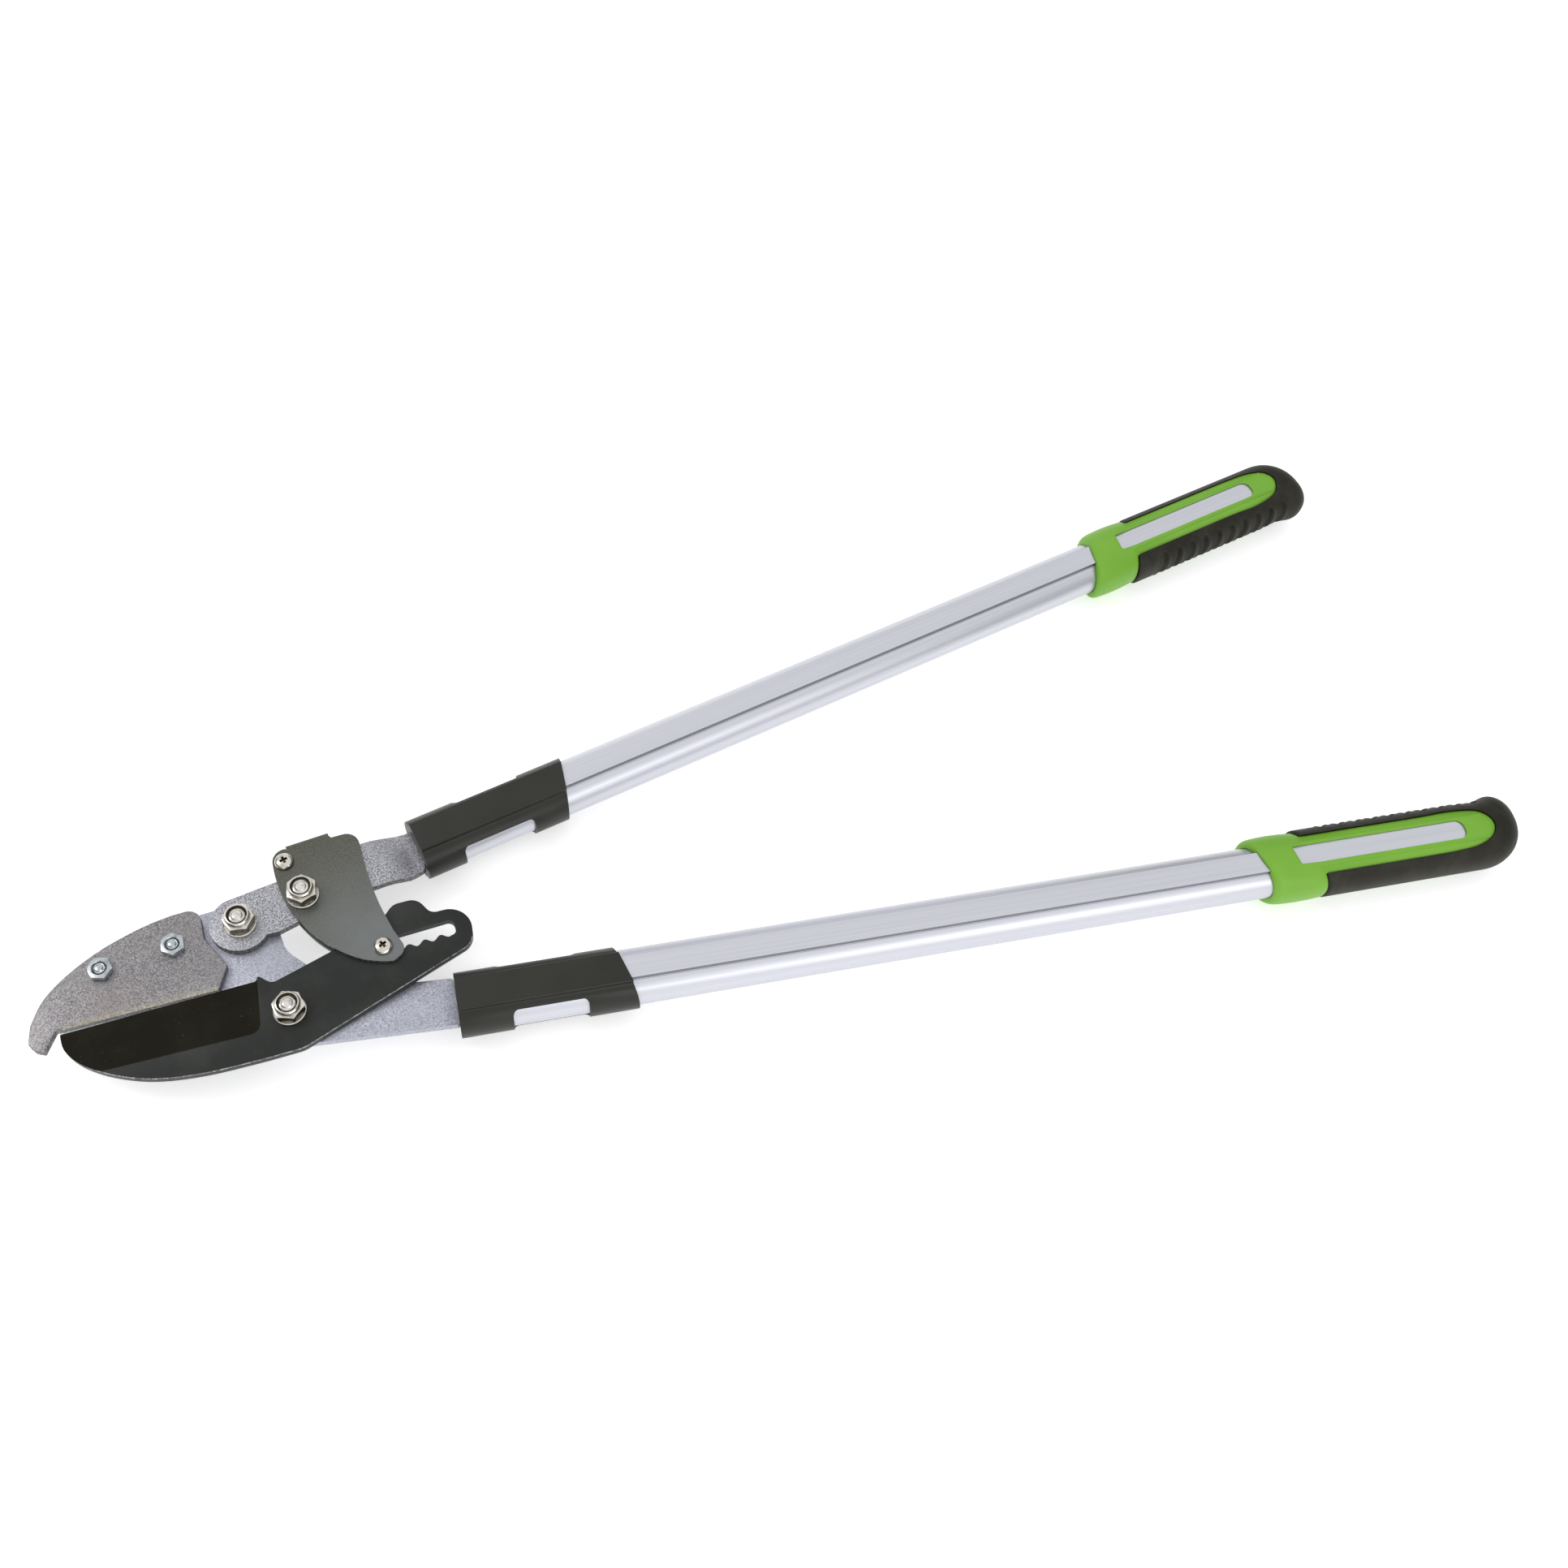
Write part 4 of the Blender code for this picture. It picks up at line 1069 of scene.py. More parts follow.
@dataclass
class CrossScrew:
    """A pan-head screw with a cross recess, in the end of a pin."""

    node: str
    face: float
    front: bool
    turn: float
    head: float = 9.0
    height: float = 2.4
    shank: float = 2.4
    reach: float = 3.1

    def build(self) -> None:
        """Make the screw."""
        centre = BENCH.plan(self.node)
        half = self.head / 2
        crown = [(0.0, self.height), (half * 0.30, self.height - 0.03), (half * 0.55, self.height - 0.18),
                 (half * 0.76, self.height - 0.55), (half * 0.91, self.height - 1.1),
                 (half * 0.99, self.height - 1.7), (half, 0.35), (half - 0.15, 0.0), (self.shank / 2, 0.0),
                 (self.shank / 2, -self.reach), (0.0, -self.reach)]
        finishes = (NICKEL, RECESS_SHADE)
        screw = Form().turn(crown, steps=56).solid("screw", finishes)
        carve(screw, Carving.CUT, [self.recess_slot(self.turn), self.recess_slot(self.turn + 90.0)])
        sign = 1.0 if self.front else -1.0
        seat = self.face + sign * STACK.gap
        place = Matrix.Translation((*centre, seat)) @ Matrix.Diagonal((1.0, sign, sign, 1.0))
        put(screw, self.node, Body.LINK, finishes, place)

    def recess_slot(self, turn: float) -> Form:
        """Return a tapered blade that presses one slot of the cross, turned by some degrees."""
        wide = 2.5
        thin = 0.7
        outline = rounded([(-wide, -thin, 0.2), (wide, -thin, 0.2), (wide, thin, 0.2), (-wide, thin, 0.2)])
        form = Form().prism(outline, 0.55, self.height + 1.0)
        for vert in form.mesh.verts:
            if vert.co.z < 1.0:
                vert.co.x *= 0.35
                vert.co.y *= 0.8
        # The slot's faces leave painted shade in the recess.
        form.paint(1, lambda spot, normal: True)
        return form.move(Matrix.Rotation(math.radians(turn), 4, "Z"))


# --------------------------------------------------------------------- jaw
@dataclass
class Jaw:
    """The anvil plate, the base plate that carries it, and the blade."""

    anvil_heel: float = -27.5
    edge: float = 0.35
    bush_bore: float = 12.0
    slot_top: float = 21.6
    slot_low: float = 14.15
    slot_start: float = 44.0
    slot_end: float = 81.8
    notch_pitch: float = 7.6
    notch_depth: float = 1.05
    last_notch: float = 77.9

    def build(self) -> None:
        """Make the jaw's plates and the anvil's fixings."""
        self.build_anvil()
        self.build_base()
        self.build_blade()
        AnvilFixing("front", 12.0).build()
        AnvilFixing("rear", -6.0).build()

    def strike_line(self, x: float) -> float:
        """Return the height of the anvil's striking edge at x."""
        return 20.6 - 0.0372 * (x - self.anvil_heel)

    def build_anvil(self) -> None:
        """Make the anvil: hooked nose, arched back and stepped heel."""
        arch = through([(-108.8, 29.0), (-101.5, 39.8), (-88.5, 49.5), (-71.9, 57.2), (-53.5, 62.3),
                        (-40.0, 64.1)])
        heel = [(-28.0, 64.0, 6.0), (-28.8, 48.0, 2.0), (-21.6, 31.0, 2.0),
                (self.anvil_heel, self.strike_line(self.anvil_heel), 0.6)]
        hook = [(-98.6, self.strike_line(-98.6), 0.8), (-104.9, 14.4, 0.8), (-108.4, 16.4, 1.5),
                (-111.0, 20.5, 3.0)]
        finishes = (BARE_STEEL, STRIKE_STEEL, WALL_SHADE)
        form = Form().prism(rounded(arch + heel + hook), STACK.jaw_back, STACK.jaw_front, 0.45, 0.3, 3)
        # The side walls take painted shade.
        form.paint(2, lambda spot, normal: abs(normal.z) < 0.3)
        anvil = form.solid("anvil", finishes)
        carve(anvil, Carving.CUT, [self.strike_chamfer()])
        put(anvil, "anvil_plate", Body.FRAME, finishes, angle=24.0)

    def strike_chamfer(self) -> Form:
        """Return the tool that takes the front rim off the anvil's striking edge."""
        width = 1.5
        depth = 1.1
        left = -97.8
        right = self.anvil_heel - 0.5
        slope = math.atan2(self.strike_line(right) - self.strike_line(left), right - left)
        section = [(0.0, 0.0), (width * 3, depth * 3), (-width * 3, depth * 3), (-width * 3, -depth * 3)]
        form = Form().prism(section, 0.0, (right - left) / math.cos(slope))
        form.paint(1, lambda spot, normal: True)
        start = (left, self.strike_line(left) + width, STACK.jaw_front)
        return form.move(Matrix.Translation(start) @ Matrix.Rotation(slope, 4, "Z") @ LENGTHWISE)

    def build_base(self) -> None:
        """Make the base plate, which ends in the lower tang."""
        tang = partial(BENCH.corner, "lower")
        jaw = through([(-100.0, 37.0), (-88.5, 46.5), (-71.9, 54.6), (-53.5, 60.0), (-40.0, 62.4)])
        shoulder = [(-16.0, 62.6, 12.0), (3.6, 56.0, 7.0), (4.6, 32.0, 14.0), (22.0, 9.0, 30.0),
                    (56.6, -2.4, 40.0)]
        tongue = [tang(-0.3, -13.4, 1.8), tang(-0.3, -9.5, 0.0), tang(60.0, -9.5, 3.0), tang(60.0, 9.5, 3.0),
                  tang(-0.3, 9.5, 0.0), tang(-0.3, 10.4, 0.6)]
        belly = [(6.0, -17.0, 16.0), (-14.0, -14.0, 12.0), (-17.0, 12.0, 8.0),
                 (self.anvil_heel, self.strike_line(self.anvil_heel), 4.0),
                 (-97.0, self.strike_line(-97.0), 3.0), (-103.0, 30.0, 3.0)]
        outline = rounded(jaw + shoulder + tongue + belly)
        form = Form().prism(outline, STACK.base_back, STACK.base_front, self.edge, self.edge)
        put(form.solid("base"), "base_plate", Body.FRAME, [ZINC], angle=24.0)

    def slot_outline(self) -> list[Point]:
        """Return the slot: a straight upper edge, round ends and a scalloped lower edge."""
        def low(x: float) -> float:
            """Return the height of the scalloped edge at x."""
            phase = 2 * math.pi * (x - self.last_notch) / self.notch_pitch
            return self.slot_low - self.notch_depth * math.cos(phase)

        count = 90
        first = self.slot_start + 1.0
        run = [first + (self.last_notch + 1.0 - first) * k / count for k in range(count + 1)]
        corners = [(self.slot_start, self.slot_top, 2.2), (self.slot_start, low(first), 1.5)]
        corners += [(x, low(x), 0.0) for x in run]
        corners += [(self.slot_end, low(self.last_notch) + 0.3, 2.6), (self.slot_end, self.slot_top, 3.2)]
        return rounded(corners)

    def grinding_tool(self, front: bool) -> Form:
        """Return the tool that grinds one side of the blade down to its edge.

        Args:
            front: whether it is the tool for the front side.

        Returns:
            The form.
        """
        slope = math.degrees(math.atan2(1.75, 26.0))
        outline = rounded([(-130.0, -5.0, 0.0), (-14.4, -5.0, 5.0), (-9.0, 55.0, 0.0), (-130.0, 55.0, 0.0)])
        form = Form().prism(outline, 0.0, 12.0)
        form.paint(1, lambda spot, normal: True)
        turn = Matrix.Rotation(math.radians(-slope), 4, "X")
        lean = Matrix.Translation((-12.6, -6.2, 0.0)) @ Matrix.Rotation(math.radians(-3.3), 4, "Z")
        form.move(Matrix.Translation((0.0, -5.0, 0.0)) @ turn @ Matrix.Translation((0.0, 5.0, 0.0)))
        form.move(lean @ Matrix.Translation((12.6, 5.0, 0.0)))
        if not front:
            form.move(Matrix.Diagonal((1.0, 1.0, -1.0, 1.0)))
        return form.move(Matrix.Translation((0.0, 0.0, STACK.jaw_front if front else STACK.jaw_back)))

    def build_blade(self) -> None:
        """Make the blade: ground faces, a worn belly and a tail with a notched slot."""
        belly = through([(-97.6, 21.4), (-96.8, 13.0), (-90.5, 3.5), (-78.5, -5.8), (-62.0, -13.3),
                         (-40.6, -17.6), (-14.0, -19.4)])
        tail = [(2.0, -19.8, 14.0), (88.0, 6.4, 9.0), (91.6, 27.2, 11.0), (73.0, 27.8, 5.0),
                (68.6, 37.4, 7.0), (57.0, 37.8, 7.0), (47.0, 28.6, 20.0), (6.5, 18.7, 10.0),
                (-4.8, 16.0, 4.0), (-9.8, 21.5, 1.2), (-11.8, 19.8, 0.4)]
        form = Form().prism(rounded(belly + tail), STACK.jaw_back, STACK.jaw_front, 0.55, 0.35)
        form.paint(2, lambda spot, normal: 0.2 < normal.z < 0.95 and normal.y < -0.1 and spot.y < 10.0)
        finishes = (COATING, GROUND, WORN_EDGE)
        blade = form.solid("blade", finishes)
        slot = Form().prism(self.slot_outline(), STACK.jaw_back - 3.0, STACK.jaw_front + 3.0)
        bore = Form().prism(circle((0.0, 0.0), self.bush_bore), STACK.jaw_back - 3.0, STACK.jaw_front + 3.0)
        carve(blade, Carving.CUT, [slot, bore])
        carve(blade, Carving.CUT, [self.grinding_tool(True), self.grinding_tool(False)])
        put(blade, "blade", Body.BLADE, finishes, angle=24.0)


# ----------------------------------------------------------------- linkage
@dataclass
class Linkage:
    """The lever arm and the bracket that joins it to the blade."""

    sheet: float = 1.8
    bend: float = 2.7

    def build(self) -> None:
        """Make the lever, the bracket and what is on them."""
        self.build_lever()
        self.build_bracket()
        for pin, turn in (("link_pin", 24.0), ("stop_pin", 12.0)):
            keep(pin, NICKEL)
            CrossScrew(f"{pin}_screw_front", STACK.cheek_front, True, turn).build()
            CrossScrew(f"{pin}_screw_rear", STACK.rear_cheek_back, False, turn + 30.0).build()
        keep("return_spring", SPRING)

    def build_lever(self) -> None:
        """Make the lever arm, pressed back to the middle of the upper tube."""
        tang = partial(BENCH.corner, "upper")
        upper = [(8.5, 66.2, 14.0), (50.4, 74.0, 4.0), tang(-9.0, 10.6, 4.0), tang(-0.3, 9.8, 0.4)]
        tongue = [tang(-0.3, 9.5, 0.0), tang(60.0, 9.5, 3.0), tang(60.0, -9.5, 3.0), tang(-0.3, -9.5, 0.0)]
        lower = [tang(-0.3, -12.0, 1.8), tang(-9.0, -13.6, 4.0), (51.0, 49.4, 4.0), (15.1, 43.0, 3.0),
                 (4.0, 40.4, 6.0)]
        round_end = arc(BENCH.plan("lever_pivot_bolt"), 14.0, 318.0, 108.0)
        outline = rounded(upper + tongue + lower + round_end)
        form = Form().prism(outline, STACK.jaw_back, STACK.jaw_front, 1.25, 0.4, 4)
        # The rounded rims take a painted highlight.
        form.paint(1, lambda spot, normal: 0.15 < normal.z < 0.97)
        # The side walls and the back take painted shade.
        form.paint(2, lambda spot, normal: normal.z < 0.15)
        self.joggle(form, BENCH.handle("upper"))
        finishes = (LEVER_ZINC, LEVER_RIM_HIGHLIGHT, WALL_SHADE)
        put(form.solid("lever", finishes), "lever_arm", Body.LEVER, finishes, angle=40.0)

    def joggle(self, form: Form, axis: Matrix) -> None:
        """Press a plate back along an S-shaped step.

        Args:
            form: the plate.
            axis: where the handle lies.
        """
        start = -21.5
        end = -3.0
        stations = 14
        drop = (STACK.jaw_back + STACK.jaw_front) / 2
        along = (axis.to_3x3() @ Vector((1.0, 0.0, 0.0))).normalized()
        mouth = axis @ Vector((0.0, 0.0, 0.0))
        for index in range(stations + 1):
            place = mouth + along * (start + (end - start) * index / stations)
            geometry = form.mesh.verts[:] + form.mesh.edges[:] + form.mesh.faces[:]
            bmesh.ops.bisect_plane(form.mesh, geom=geometry, dist=1e-4, plane_co=place, plane_no=along)
        for vert in form.mesh.verts:
            share = min(1.0, max(0.0, ((vert.co - mouth).dot(along) - start) / (end - start)))
            vert.co.z -= drop * share * share * (3 - 2 * share)

    def cheek_outline(self) -> list[Point]:
        """Return the edge of a cheek, stepped where the web bends away from it."""
        left = through([(46.0, 9.4), (37.0, 13.6), (28.2, 20.9), (20.0, 31.0), (14.2, 42.0), (10.4, 53.0),
                        (8.9, 65.0), (8.9, 72.0)])
        top = [(9.6, 81.2, 6.5), (16.8, 81.2, 0.6), (16.8, 80.6, 0.0), (37.6, 81.8, 0.0), (38.4, 80.6, 0.6),
               (50.4, 80.6, 6.5)]
        right = through([(50.4, 71.0), (50.0, 58.0), (51.2, 40.0), (54.0, 24.0)])
        foot = [(57.6, 12.0, 5.0), (50.5, 8.2, 3.0)]
        return rounded(left + top + right + foot)

    def build_bracket(self) -> None:
        """Make the link bracket: two cheeks and the web that is bent between them."""
        outline = self.cheek_outline()
        form = Form().prism(outline, STACK.cheek_back, STACK.cheek_front, 0.55, 0.2)
        # The side walls take painted shade.
        form.paint(2, lambda spot, normal: abs(normal.z) < 0.3)
        # The rims on the right and lower sides take a painted highlight.
        form.paint(1, lambda spot, normal: 0.2 < normal.z < 0.95 and (normal.x > 0.1 or spot.y < 26.0))
        finishes = (OLIVE, BRACKET_RIM_HIGHLIGHT, WALL_SHADE)
        bracket = form.solid("bracket", finishes)
        rear = Form().prism(outline, STACK.rear_cheek_back, STACK.rear_cheek_front, 0.2, 0.4)
        carve(bracket, Carving.JOIN, [rear, self.web()])
        put(bracket, "link_bracket", Body.LINK, finishes, angle=28.0)

    def web(self) -> Form:
        """Return the bent web: a U of sheet that runs along the cheeks' upper edges."""
        inner = self.bend - self.sheet
        front = STACK.cheek_front
        back = STACK.rear_cheek_back
        outside = [(-0.6, front, 0.0), (self.bend, front, self.bend), (self.bend, back, self.bend),
                   (-0.6, back, 0.0)]
        inside = [(-0.6, back + self.sheet, 0.0), (inner, back + self.sheet, inner),
                  (inner, front - self.sheet, inner), (-0.6, front - self.sheet, 0.0)]
        start = Vector((16.9, 80.7, 0.0))
        run = Vector((37.5, 81.9, 0.0)) - start
        form = Form().prism(rounded(outside + inside), 0.0, run.length)
        away = Vector((-run.y, run.x, 0.0)).normalized()
        along = run.normalized()
        turn = Matrix(((away.x, 0.0, along.x, start.x), (away.y, 0.0, along.y, start.y),
                       (0.0, 1.0, 0.0, 0.0), (0.0, 0.0, 0.0, 1.0)))
        return form.move(turn)


# ----------------------------------------------------------------- handles
@dataclass
class Handle:
    """One handle: its tube, sleeve, grip shell and grip rubber."""

    name: str
    body: Body
    half_width: float = 13.9
    half_thick: float = 12.0
    flat_half: float = 5.8
    flat_top: float = 13.0
    wall: float = 1.7
    clear: float = 0.3
    tube_end: float = 538.0
    slant: float = 0.283
    sleeve_length: float = 79.2
    sleeve_mouth: float = 0.9
    tube_start: float = 1.0
    inner_window: tuple[float, float, float, float, float] = (19.5, 57.0, -9.0, -11.8, 8.0)
    outer_window: tuple[float, float, float, float, float] = (24.5, 60.0, 9.0, -9.8, 9.8)
    rim: float = 409.5
    rubber_start: float = 438.5
    face: float = 14.0
    lip: float = 15.9
    strip_start: float = 433.0
    strip_half: float = 11.2
    strip_end: float = 543.0
    window_start: float = 427.5
    window_end: float = 526.0
    window_half: float = 5.3
    grip_end: float = 563.5
    groove_pitch: float = 9.9
    groove_first: float = 452.0
    grooves: int = 10

    def build(self) -> None:
        """Make everything on the handle."""
        self.build_tube()
        self.build_sleeve()
        self.build_shell()
        self.build_rubber()
        for end in ("front", "rear"):
            keep(f"{self.name}_rivet_{end}", THIN_ZINC)

    @property
    def place(self) -> Matrix:
        """From this handle's millimetres to the tool's."""
        return BENCH.handle(self.name)

    def bar(self, section: Sequence[Point], start: float, end: float, rim: float = 0.0) -> Form:
        """Return a straight length of a section along the handle.

        Args:
            section: its (across, up) points.
            start: where it starts along the handle.
            end: where it ends.
            rim: the radius along both ends.

        Returns:
            The form.
        """
        return Form().prism(section, start, end, rim, rim).move(LENGTHWISE)

    def tube_section(self, grow: float) -> list[Point]:
        """Return the tube's section, grown all round by some millimetres."""
        return oval(self.half_width + grow, self.half_thick + grow, self.flat_half + grow,
                    self.flat_top + grow, 0.35, 0.9)

    def slanted(self, s: float, length: float) -> Form:
        """Return a block of some length that trims a piece along the slant through s."""
        far = 40.0
        shift = far * self.slant
        corners = [(s - shift, -far), (s + shift, far), (s + length + shift, far), (s + length - shift, -far)]
        return Form().prism(corners, -far, far)

    def build_tube(self) -> None:
        """Make the drawn tube, hollow through its length."""
        start = self.tube_start
        section = oval(self.half_width, self.half_thick, self.flat_half, self.flat_top, 0.35, 0.6, 0.45)
        turn = -math.degrees(math.atan2(self.place[1][0], self.place[0][0]))
        finishes = (AnodisedTube(f"anodised_{self.name}", "anodised_tube", turn),
                    AnodisedTube(f"crease_shade_{self.name}", "anodised_tube", turn, CREASE_SHADE, CREASE_SHADE))
        form = self.bar(section, start, self.tube_end, 0.25)
        # The step walls beside the flats take painted shade.
        form.paint(1, lambda spot, normal: abs(normal.y) > 0.55 and abs(spot.y) < self.flat_half + 0.5)
        tube = form.solid("tube", finishes)
        carve(tube, Carving.CUT, [self.bar(self.tube_section(-self.wall), start - 5.0, self.tube_end + 5.0)])
        put(tube, f"{self.name}_tube", self.body, finishes, self.place, 20.0)

    def window(self, start: float, end: float, across: float, low_edge: float, high_edge: float) -> Form:
        """Return a block with round corners that opens one edge of the sleeve.

        Args:
            start: where it starts along the handle.
            end: where it ends.
            across: how far out from the middle it starts, with its side as its sign.
            low_edge: the height of its lower edge.
            high_edge: the height of its upper edge.

        Returns:
            The form.
        """
        radius = 2.6
        outline = rounded([(start, low_edge, radius), (end, low_edge, radius), (end, high_edge, radius),
                           (start, high_edge, radius)])
        stand = Matrix.Rotation(math.radians(90.0), 4, "X")
        low, high = sorted((-across, -across * 2.5))
        return Form().prism(outline, low, high).move(stand)

    def build_sleeve(self) -> None:
        """Make the sleeve: two raised panels, and bands round both edges."""
        outer = oval(15.7, 13.7, 8.0, 14.4, 0.8, 2.2, 0.3)
        sleeve = self.bar(outer, 0.0, self.sleeve_length + 12.0).solid("sleeve")
        cavity = self.bar(self.tube_section(self.clear), self.sleeve_mouth, self.sleeve_length + 20.0)
        slot = rounded([(-10.2, -2.5, 0.4), (10.2, -2.5, 0.4), (10.2, 2.5, 0.4), (-10.2, 2.5, 0.4)])
        tools = [self.slanted(self.sleeve_length, 60.0), cavity, self.bar(slot, -5.0, 5.0),
                 self.window(*self.inner_window), self.window(*self.outer_window)]
        carve(sleeve, Carving.CUT, tools)
        soften(sleeve, 0.55, 50.0, 3)
        put(sleeve, f"{self.name}_sleeve", self.body, [SLEEVE_BLACK], self.place, 35.0)

    def strip_outline(self, grow: float, start: float) -> list[Point]:
        """Return the outline of the green strip on a face.

        Args:
            grow: how much wider than the strip.
            start: where it starts along the handle.

        Returns:
            The outline's points.
        """
        half = self.strip_half
        end = self.strip_end
        knots = [(start, half), (470.0, half), (505.0, half), (518.0, half - 0.2), (530.0, half - 1.1),
                 (end - 4.6, 7.2), (end - 1.0, 3.2), (end, -0.8), (end - 1.6, -5.0), (end - 5.4, -8.8),
                 (531.0, -half + 0.5), (520.0, -half - 0.5), (505.0, -half), (470.0, -half), (start, -half)]
        points = [Vector(corner[:2]) for corner in through(knots, 7)]
        grown = []
        for index, point in enumerate(points):
            run = points[min(index + 1, len(points) - 1)] - points[max(index - 1, 0)]
            away = Vector((-run.y, run.x)).normalized()
            grown.append(tuple(point + away * grow))
        return grown[::-1]

    def strips(self, grow: float, start: float) -> list[Form]:
        """Return the strip's outline as a block over each face.

        Args:
            grow: how much wider than the strip.
            start: where it starts along the handle.

        Returns:
            The two forms.
        """
        outline = self.strip_outline(grow, start)
        return [Form().prism(outline, 5.0, 24.0), Form().prism(outline, -24.0, -5.0)]

    def grip_ring(self, s: float, outer: float, inner: float, thick: float, lean: float,
                  grooved: bool = False, boxy: float = 0.88) -> list[Vector]:
        """Return one boxy oval round the handle.

        Args:
            s: its place along the middle of the handle.
            outer: its outer edge, across.
            inner: its inner edge, across.
            thick: half its thickness.
            lean: how far it leans along the handle for each millimetre across.
            grooved: whether the finger grooves are pressed into it.
            boxy: 1 for an ellipse, and less for a boxier oval.

        Returns:
            The ring's points, on the handle's axes.
        """
        points = 144
        centre = (outer + inner) / 2
        half = (outer - inner) / 2
        ring = []
        for index in range(points):
            angle = 2 * math.pi * index / points
            wide = math.copysign(abs(math.cos(angle)) ** boxy, math.cos(angle))
            up = math.copysign(abs(math.sin(angle)) ** boxy, math.sin(angle)) * thick
            across = centre + half * wide
            place = s + lean * across
            if grooved and across < -6.0:
                depth = self.groove(place, up)
                across += depth
                up -= math.copysign(depth * 0.5, up)
            ring.append(Vector((place, across, up)))
        return ring

    def collar(self) -> Form:
        """Return the shell's collar: a slanted sleeve with a thick rounded lip."""
        steps = ((0.0, -2.9), (0.25, -2.1), (0.8, -1.4), (1.7, -0.85), (3.0, -0.5), (5.5, -0.2), (9.0, 0.05),
                 (15.0, 0.25), (21.0, 0.15), (25.0, -0.05), (27.8, -0.2), (28.4, -0.5), (28.7, -1.0))
        width = 17.9
        rings = [self.grip_ring(self.rim + ahead, width + grow, -width - grow,
                                self.lip + grow * 0.8 - 1.7 * (max(0.0, ahead - 4.0) / 24.0) ** 1.2,
                                self.slant) for ahead, grow in steps]
        return Form().loft(rings)

    def build_shell(self) -> None:
        """Make the green shell: its collar, its core under the rubber and a strip on each face."""
        width = 17.2
        skin = [self.grip_ring(place, width, -width, self.face, 0.0, boxy=0.85)
                for place in (424.0, 470.0, 510.0, 560.0)]
        shell = Form().loft(skin).solid("shell")
        front, back = self.strips(0.0, self.strip_start)
        carve(shell, Carving.KEEP, [front.take(back)])
        core = self.bar(oval(15.2, 12.8, 7.6, 13.6, 0.6, 1.6), self.rubber_start - 8.0, 538.0)
        carve(shell, Carving.JOIN, [core, self.collar()])
        cavity = self.bar(self.tube_section(self.clear), self.rim - 20.0, self.tube_end - 2.0)
        half = self.window_half
        skew = half * self.slant * 0.6
        outline = rounded([(self.window_start - skew, -half, 1.4), (self.window_end, -half, 4.4),
                           (self.window_end, half, 4.4), (self.window_start + skew, half, 1.4)])
        windows = [Form().prism(outline, low, low + 9.0) for low in (12.0, -21.0)]
        carve(shell, Carving.CUT, [cavity, *windows])
        soften(shell, 0.35, 40.0, 2)
        put(shell, f"{self.name}_grip_shell", self.body, [LIME], self.place, 32.0)

    def rubber_reach(self, s: float) -> tuple[float, float, float]:
        """Find how far the rubber reaches at a place along the grip.

        Args:
            s: the place along the handle.

        Returns:
            Its outer edge, its inner edge (both across) and half its thickness.
        """
        def rounding(start: float, power: float) -> float:
            """Return how much of the width is left on the way from a start to the very end."""
            share = min(1.0, max(0.0, (s - start) / (self.grip_end - start)))
            return max(0.0, 1.0 - share ** power) ** 0.5

        rise = max(0.0, min(1.0, (s - 540.0) / 13.0))
        flare = 2.2 * rise * rise * (3 - 2 * rise) - 0.7 * math.exp(-((s - 541.0) / 7.0) ** 2)
        pinch = -6.0
        outer = pinch + (18.0 - pinch) * rounding(538.0, 2.3)
        inner = pinch - (18.9 + flare + pinch) * rounding(548.0, 2.6)
        thick = 0.1 + (self.face + 1.0) * rounding(538.0, 2.8)
        return outer, inner, thick

    def groove(self, s: float, up: float) -> float:
        """Return the depth of the finger grooves at a place on the inner edge.

        Args:
            s: the place along the handle.
            up: its height over the middle.

        Returns:
            The depth, below 0 on the raised lip round a groove.
        """
        half_width = 2.3
        straight = 7.4
        end_length = 3.2
        deep = 1.5
        lip = 0.45
        index = round((s - self.groove_first) / self.groove_pitch)
        if not 0 <= index < self.grooves:
            return 0.0
        away = (s - self.groove_first - index * self.groove_pitch) / half_width
        past = max(0.0, abs(up) - straight) / end_length
        reach = math.hypot(away, past)
        if reach >= 1.0:
            return -lip * math.sin(math.pi * min(1.0, (reach - 1.0) / 0.5))
        share = min(1.0, (1.0 - reach) / 0.45)
        return deep * share * share * (3 - 2 * share)

    def build_rubber(self) -> None:
        """Make the rubber: both edges of the grip, its finger grooves and its flared end."""
        start = self.rubber_start
        spread = 0.42
        turn_in = 545.0
        straight = 30.0

        def ring(station: float, inset: float) -> list[Vector]:
            """Return the ring at a station, drawn in by an inset."""
            outer, inner, thick = self.rubber_reach(station)
            lean = self.slant * max(0.0, 1.0 - (station - start) / straight)
            return self.grip_ring(station, outer - inset, inner + inset, thick - inset, lean, True)

        count = int((turn_in - start - 2.0) / spread)
        stations = [(start, 0.9), (start + 0.3, 0.4), (start + 0.9, 0.1)]
        stations += [(start + 1.6 + spread * k, 0.0) for k in range(count)]
        last = stations[-1][0]
        reach = self.grip_end - last
        stations += [(last + reach * math.sin(math.pi / 2 * k / 30), 0.0) for k in range(1, 30)]
        rubber = Form().loft([ring(*station) for station in stations]).solid("rubber")
        core = self.bar(oval(15.4, 13.0, 7.8, 13.8, 0.6, 1.6), start - 30.0, 538.4)
        carve(rubber, Carving.CUT, [core, *self.strips(0.28, start - 40.0)])
        put(rubber, f"{self.name}_grip_rubber", self.body, [RUBBER], self.place, 42.0)


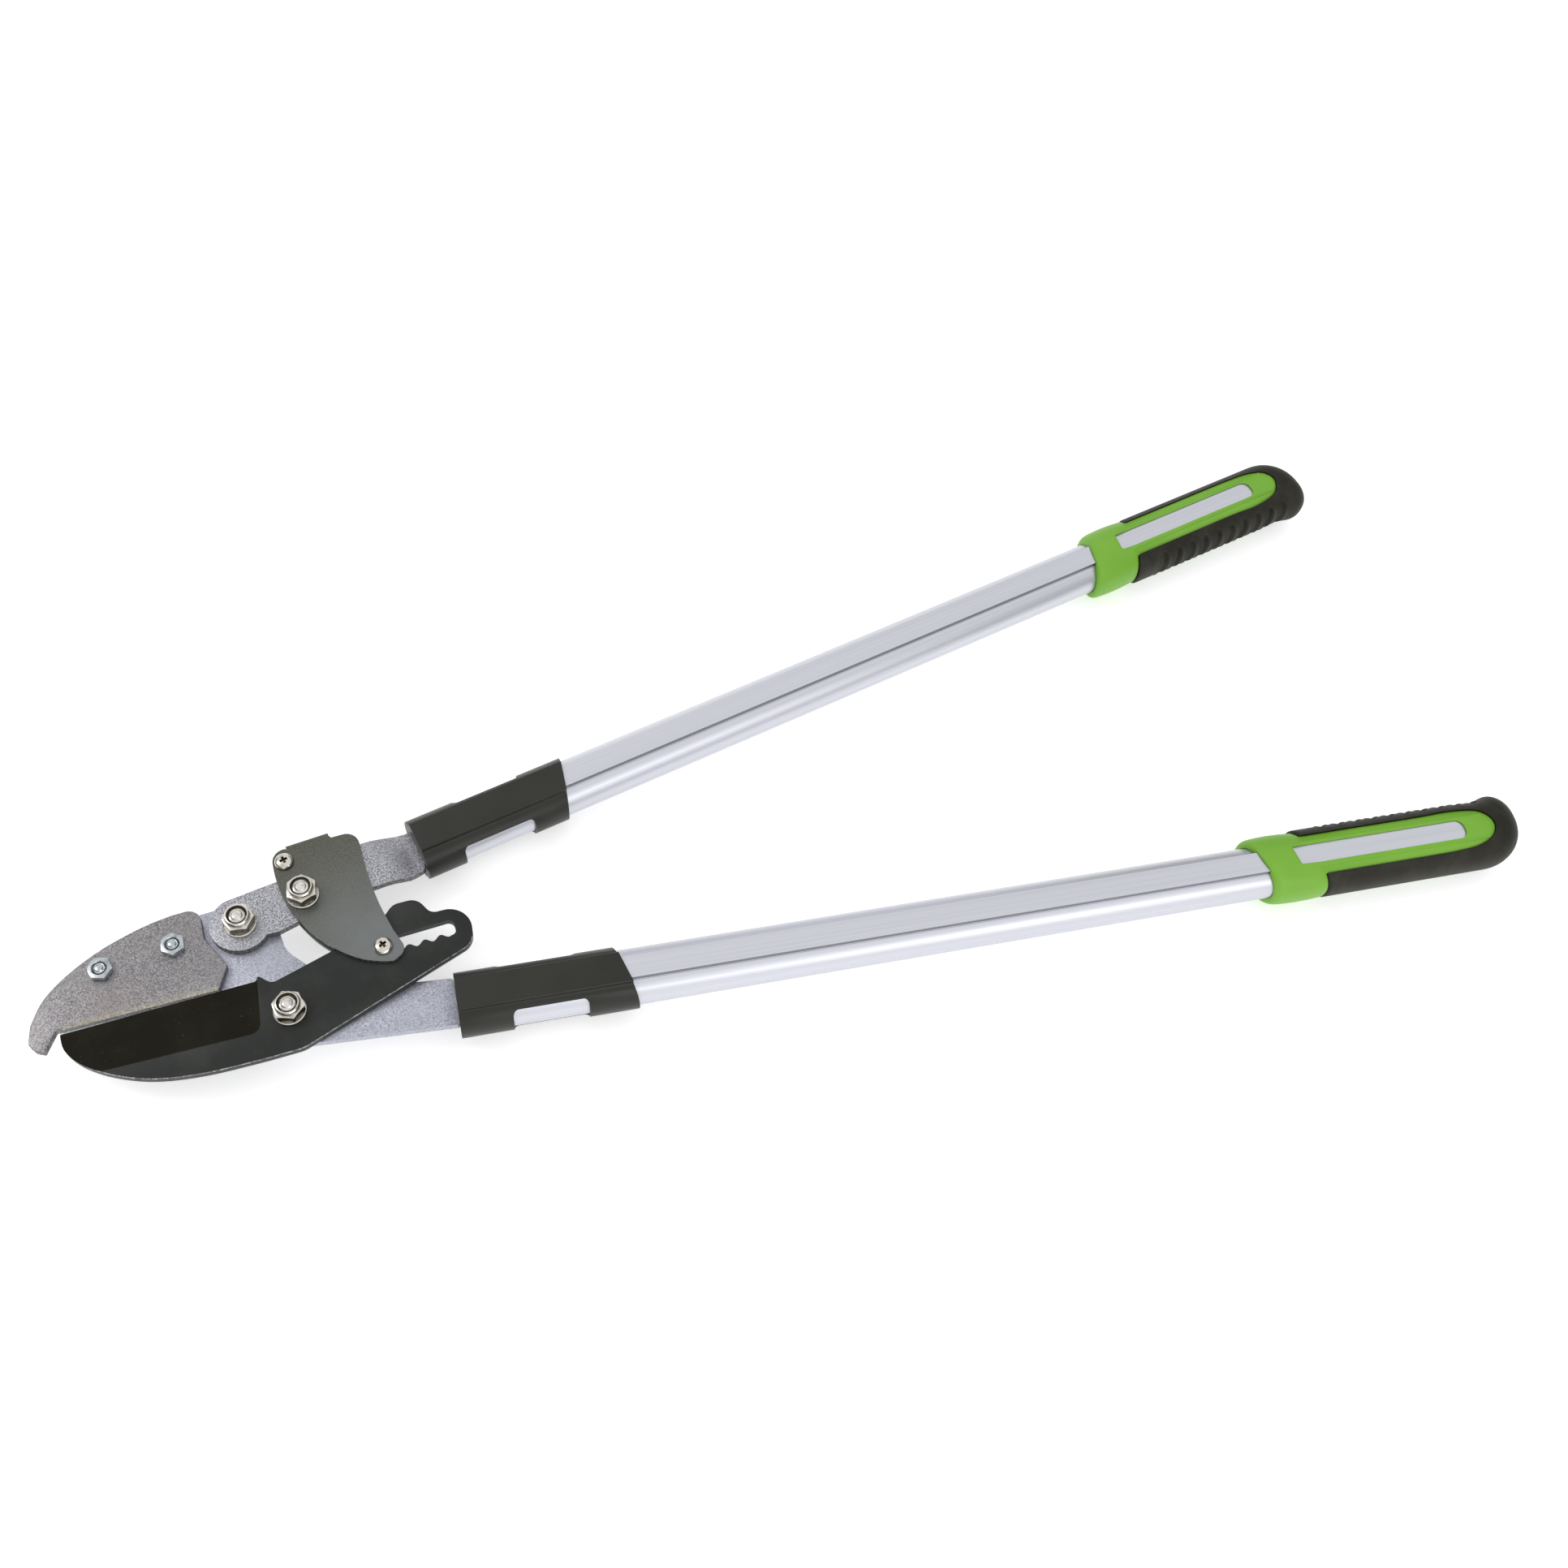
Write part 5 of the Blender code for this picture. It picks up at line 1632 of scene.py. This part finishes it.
# ------------------------------------------------------------------ studio
@dataclass
class Studio:
    """The floor, the soft lights and the camera."""

    lens: float = 37.27
    sensor: float = 36.0
    eye: tuple[float, float, float] = (36.2, -317.55, 721.2)
    right: tuple[float, float, float] = (0.92605, -0.36141, 0.1087)
    up: tuple[float, float, float] = (0.26379, 0.82581, 0.4984)
    back: tuple[float, float, float] = (-0.26989, -0.43287, 0.8601)

    def build(self) -> None:
        """Set up the studio round the tool."""
        self.build_floor()
        self.build_sky()
        self.soft_box("front_light", (0.35, -1.5, 0.75), (1.4, 0.45), 4.5)
        self.soft_box("side_light", (-1.1, 0.5, 1.1), (0.5, 0.8), 5.0)
        self.build_camera()

    def build_floor(self) -> None:
        """Lay the pale floor under the tool."""
        size = 8.0
        form = bmesh.new()
        bmesh.ops.create_grid(form, x_segments=8, y_segments=8, size=size)
        mesh = bpy.data.meshes.new("floor")
        form.to_mesh(mesh)
        form.free()
        mesh.transform(Matrix.Translation((0.0, 0.0, CAD_BOX[0].z - 0.0005)))
        mesh.materials.append(PaleFloor("pale_floor", "floor").material())
        floor = bpy.data.objects.new("floor", mesh)
        bpy.context.scene.collection.objects.link(floor)

    def build_sky(self) -> None:
        """Surround the tool with a soft white tent, open and dark low down at both ends."""
        world = bpy.data.worlds.new("tent")
        bpy.context.scene.world = world
        world.use_nodes = True
        nodes = Nodes(world.node_tree)
        tent = nodes.tree.nodes["Background"]
        place = nodes.node("ShaderNodeTexCoord", {}, {}, "Generated")
        sideways = nodes.node("ShaderNodeMath", {"operation": "ABSOLUTE"},
                              {0: nodes.node("ShaderNodeSeparateXYZ", {}, {0: place}, "X")})
        height = nodes.node("ShaderNodeSeparateXYZ", {}, {0: place}, "Z")
        dark = nodes.sharpen(sideways, 0.35, 0.65) * nodes.sharpen(height, 0.62, 0.30)
        nodes.feed(tent.inputs["Strength"], 1.0 - dark * 0.92)
        nodes.feed(tent.inputs["Color"], (0.985, 0.99, 1.0))

    def soft_box(self, name: str, place: Sequence[float], size: Point, power: float) -> None:
        """Hang a rectangular light that points at the tool.

        Args:
            name: its name.
            place: where it hangs, in metres.
            size: its width and height, in metres.
            power: its power, in watts.
        """
        light = bpy.data.lights.new(name, "AREA")
        light.shape = "RECTANGLE"
        light.size, light.size_y = size
        light.energy = power
        lamp = bpy.data.objects.new(name, light)
        lamp.location = place
        lamp.rotation_euler = (-Vector(place)).to_track_quat("-Z", "Y").to_euler()
        bpy.context.scene.collection.objects.link(lamp)

    def build_camera(self) -> None:
        """Set the camera over the near side of the tool."""
        data = bpy.data.cameras.new("camera")
        data.sensor_width = self.sensor
        data.lens = self.lens
        data.clip_start = 0.01
        camera = bpy.data.objects.new("camera", data)
        turn = Matrix((self.right, self.up, self.back)).transposed().to_4x4()
        camera.matrix_world = Matrix.Translation(BENCH.axes @ Vector(self.eye)) @ turn
        bpy.context.scene.collection.objects.link(camera)
        bpy.context.scene.camera = camera
        bpy.context.scene.view_settings.view_transform = "Standard"


def main() -> None:
    """Build the loppers and their studio."""
    logging.basicConfig(level=logging.INFO, format="%(name)s: %(message)s")
    Jaw().build()
    Linkage().build()
    Pivot("blade_pivot", Body.FRAME, STACK.base_back, STACK.jaw_front, 8.0).build()
    Pivot("lever_pivot", Body.FRAME, STACK.base_back, STACK.jaw_front, 20.0).build()
    Pivot("link_pivot", Body.LEVER, STACK.rear_cheek_back, STACK.cheek_front, -12.0, bushed=False).build()
    Handle("upper", Body.LEVER).build()
    Handle("lower", Body.FRAME).build()
    Studio().build()


if __name__ == "__main__":
    main()
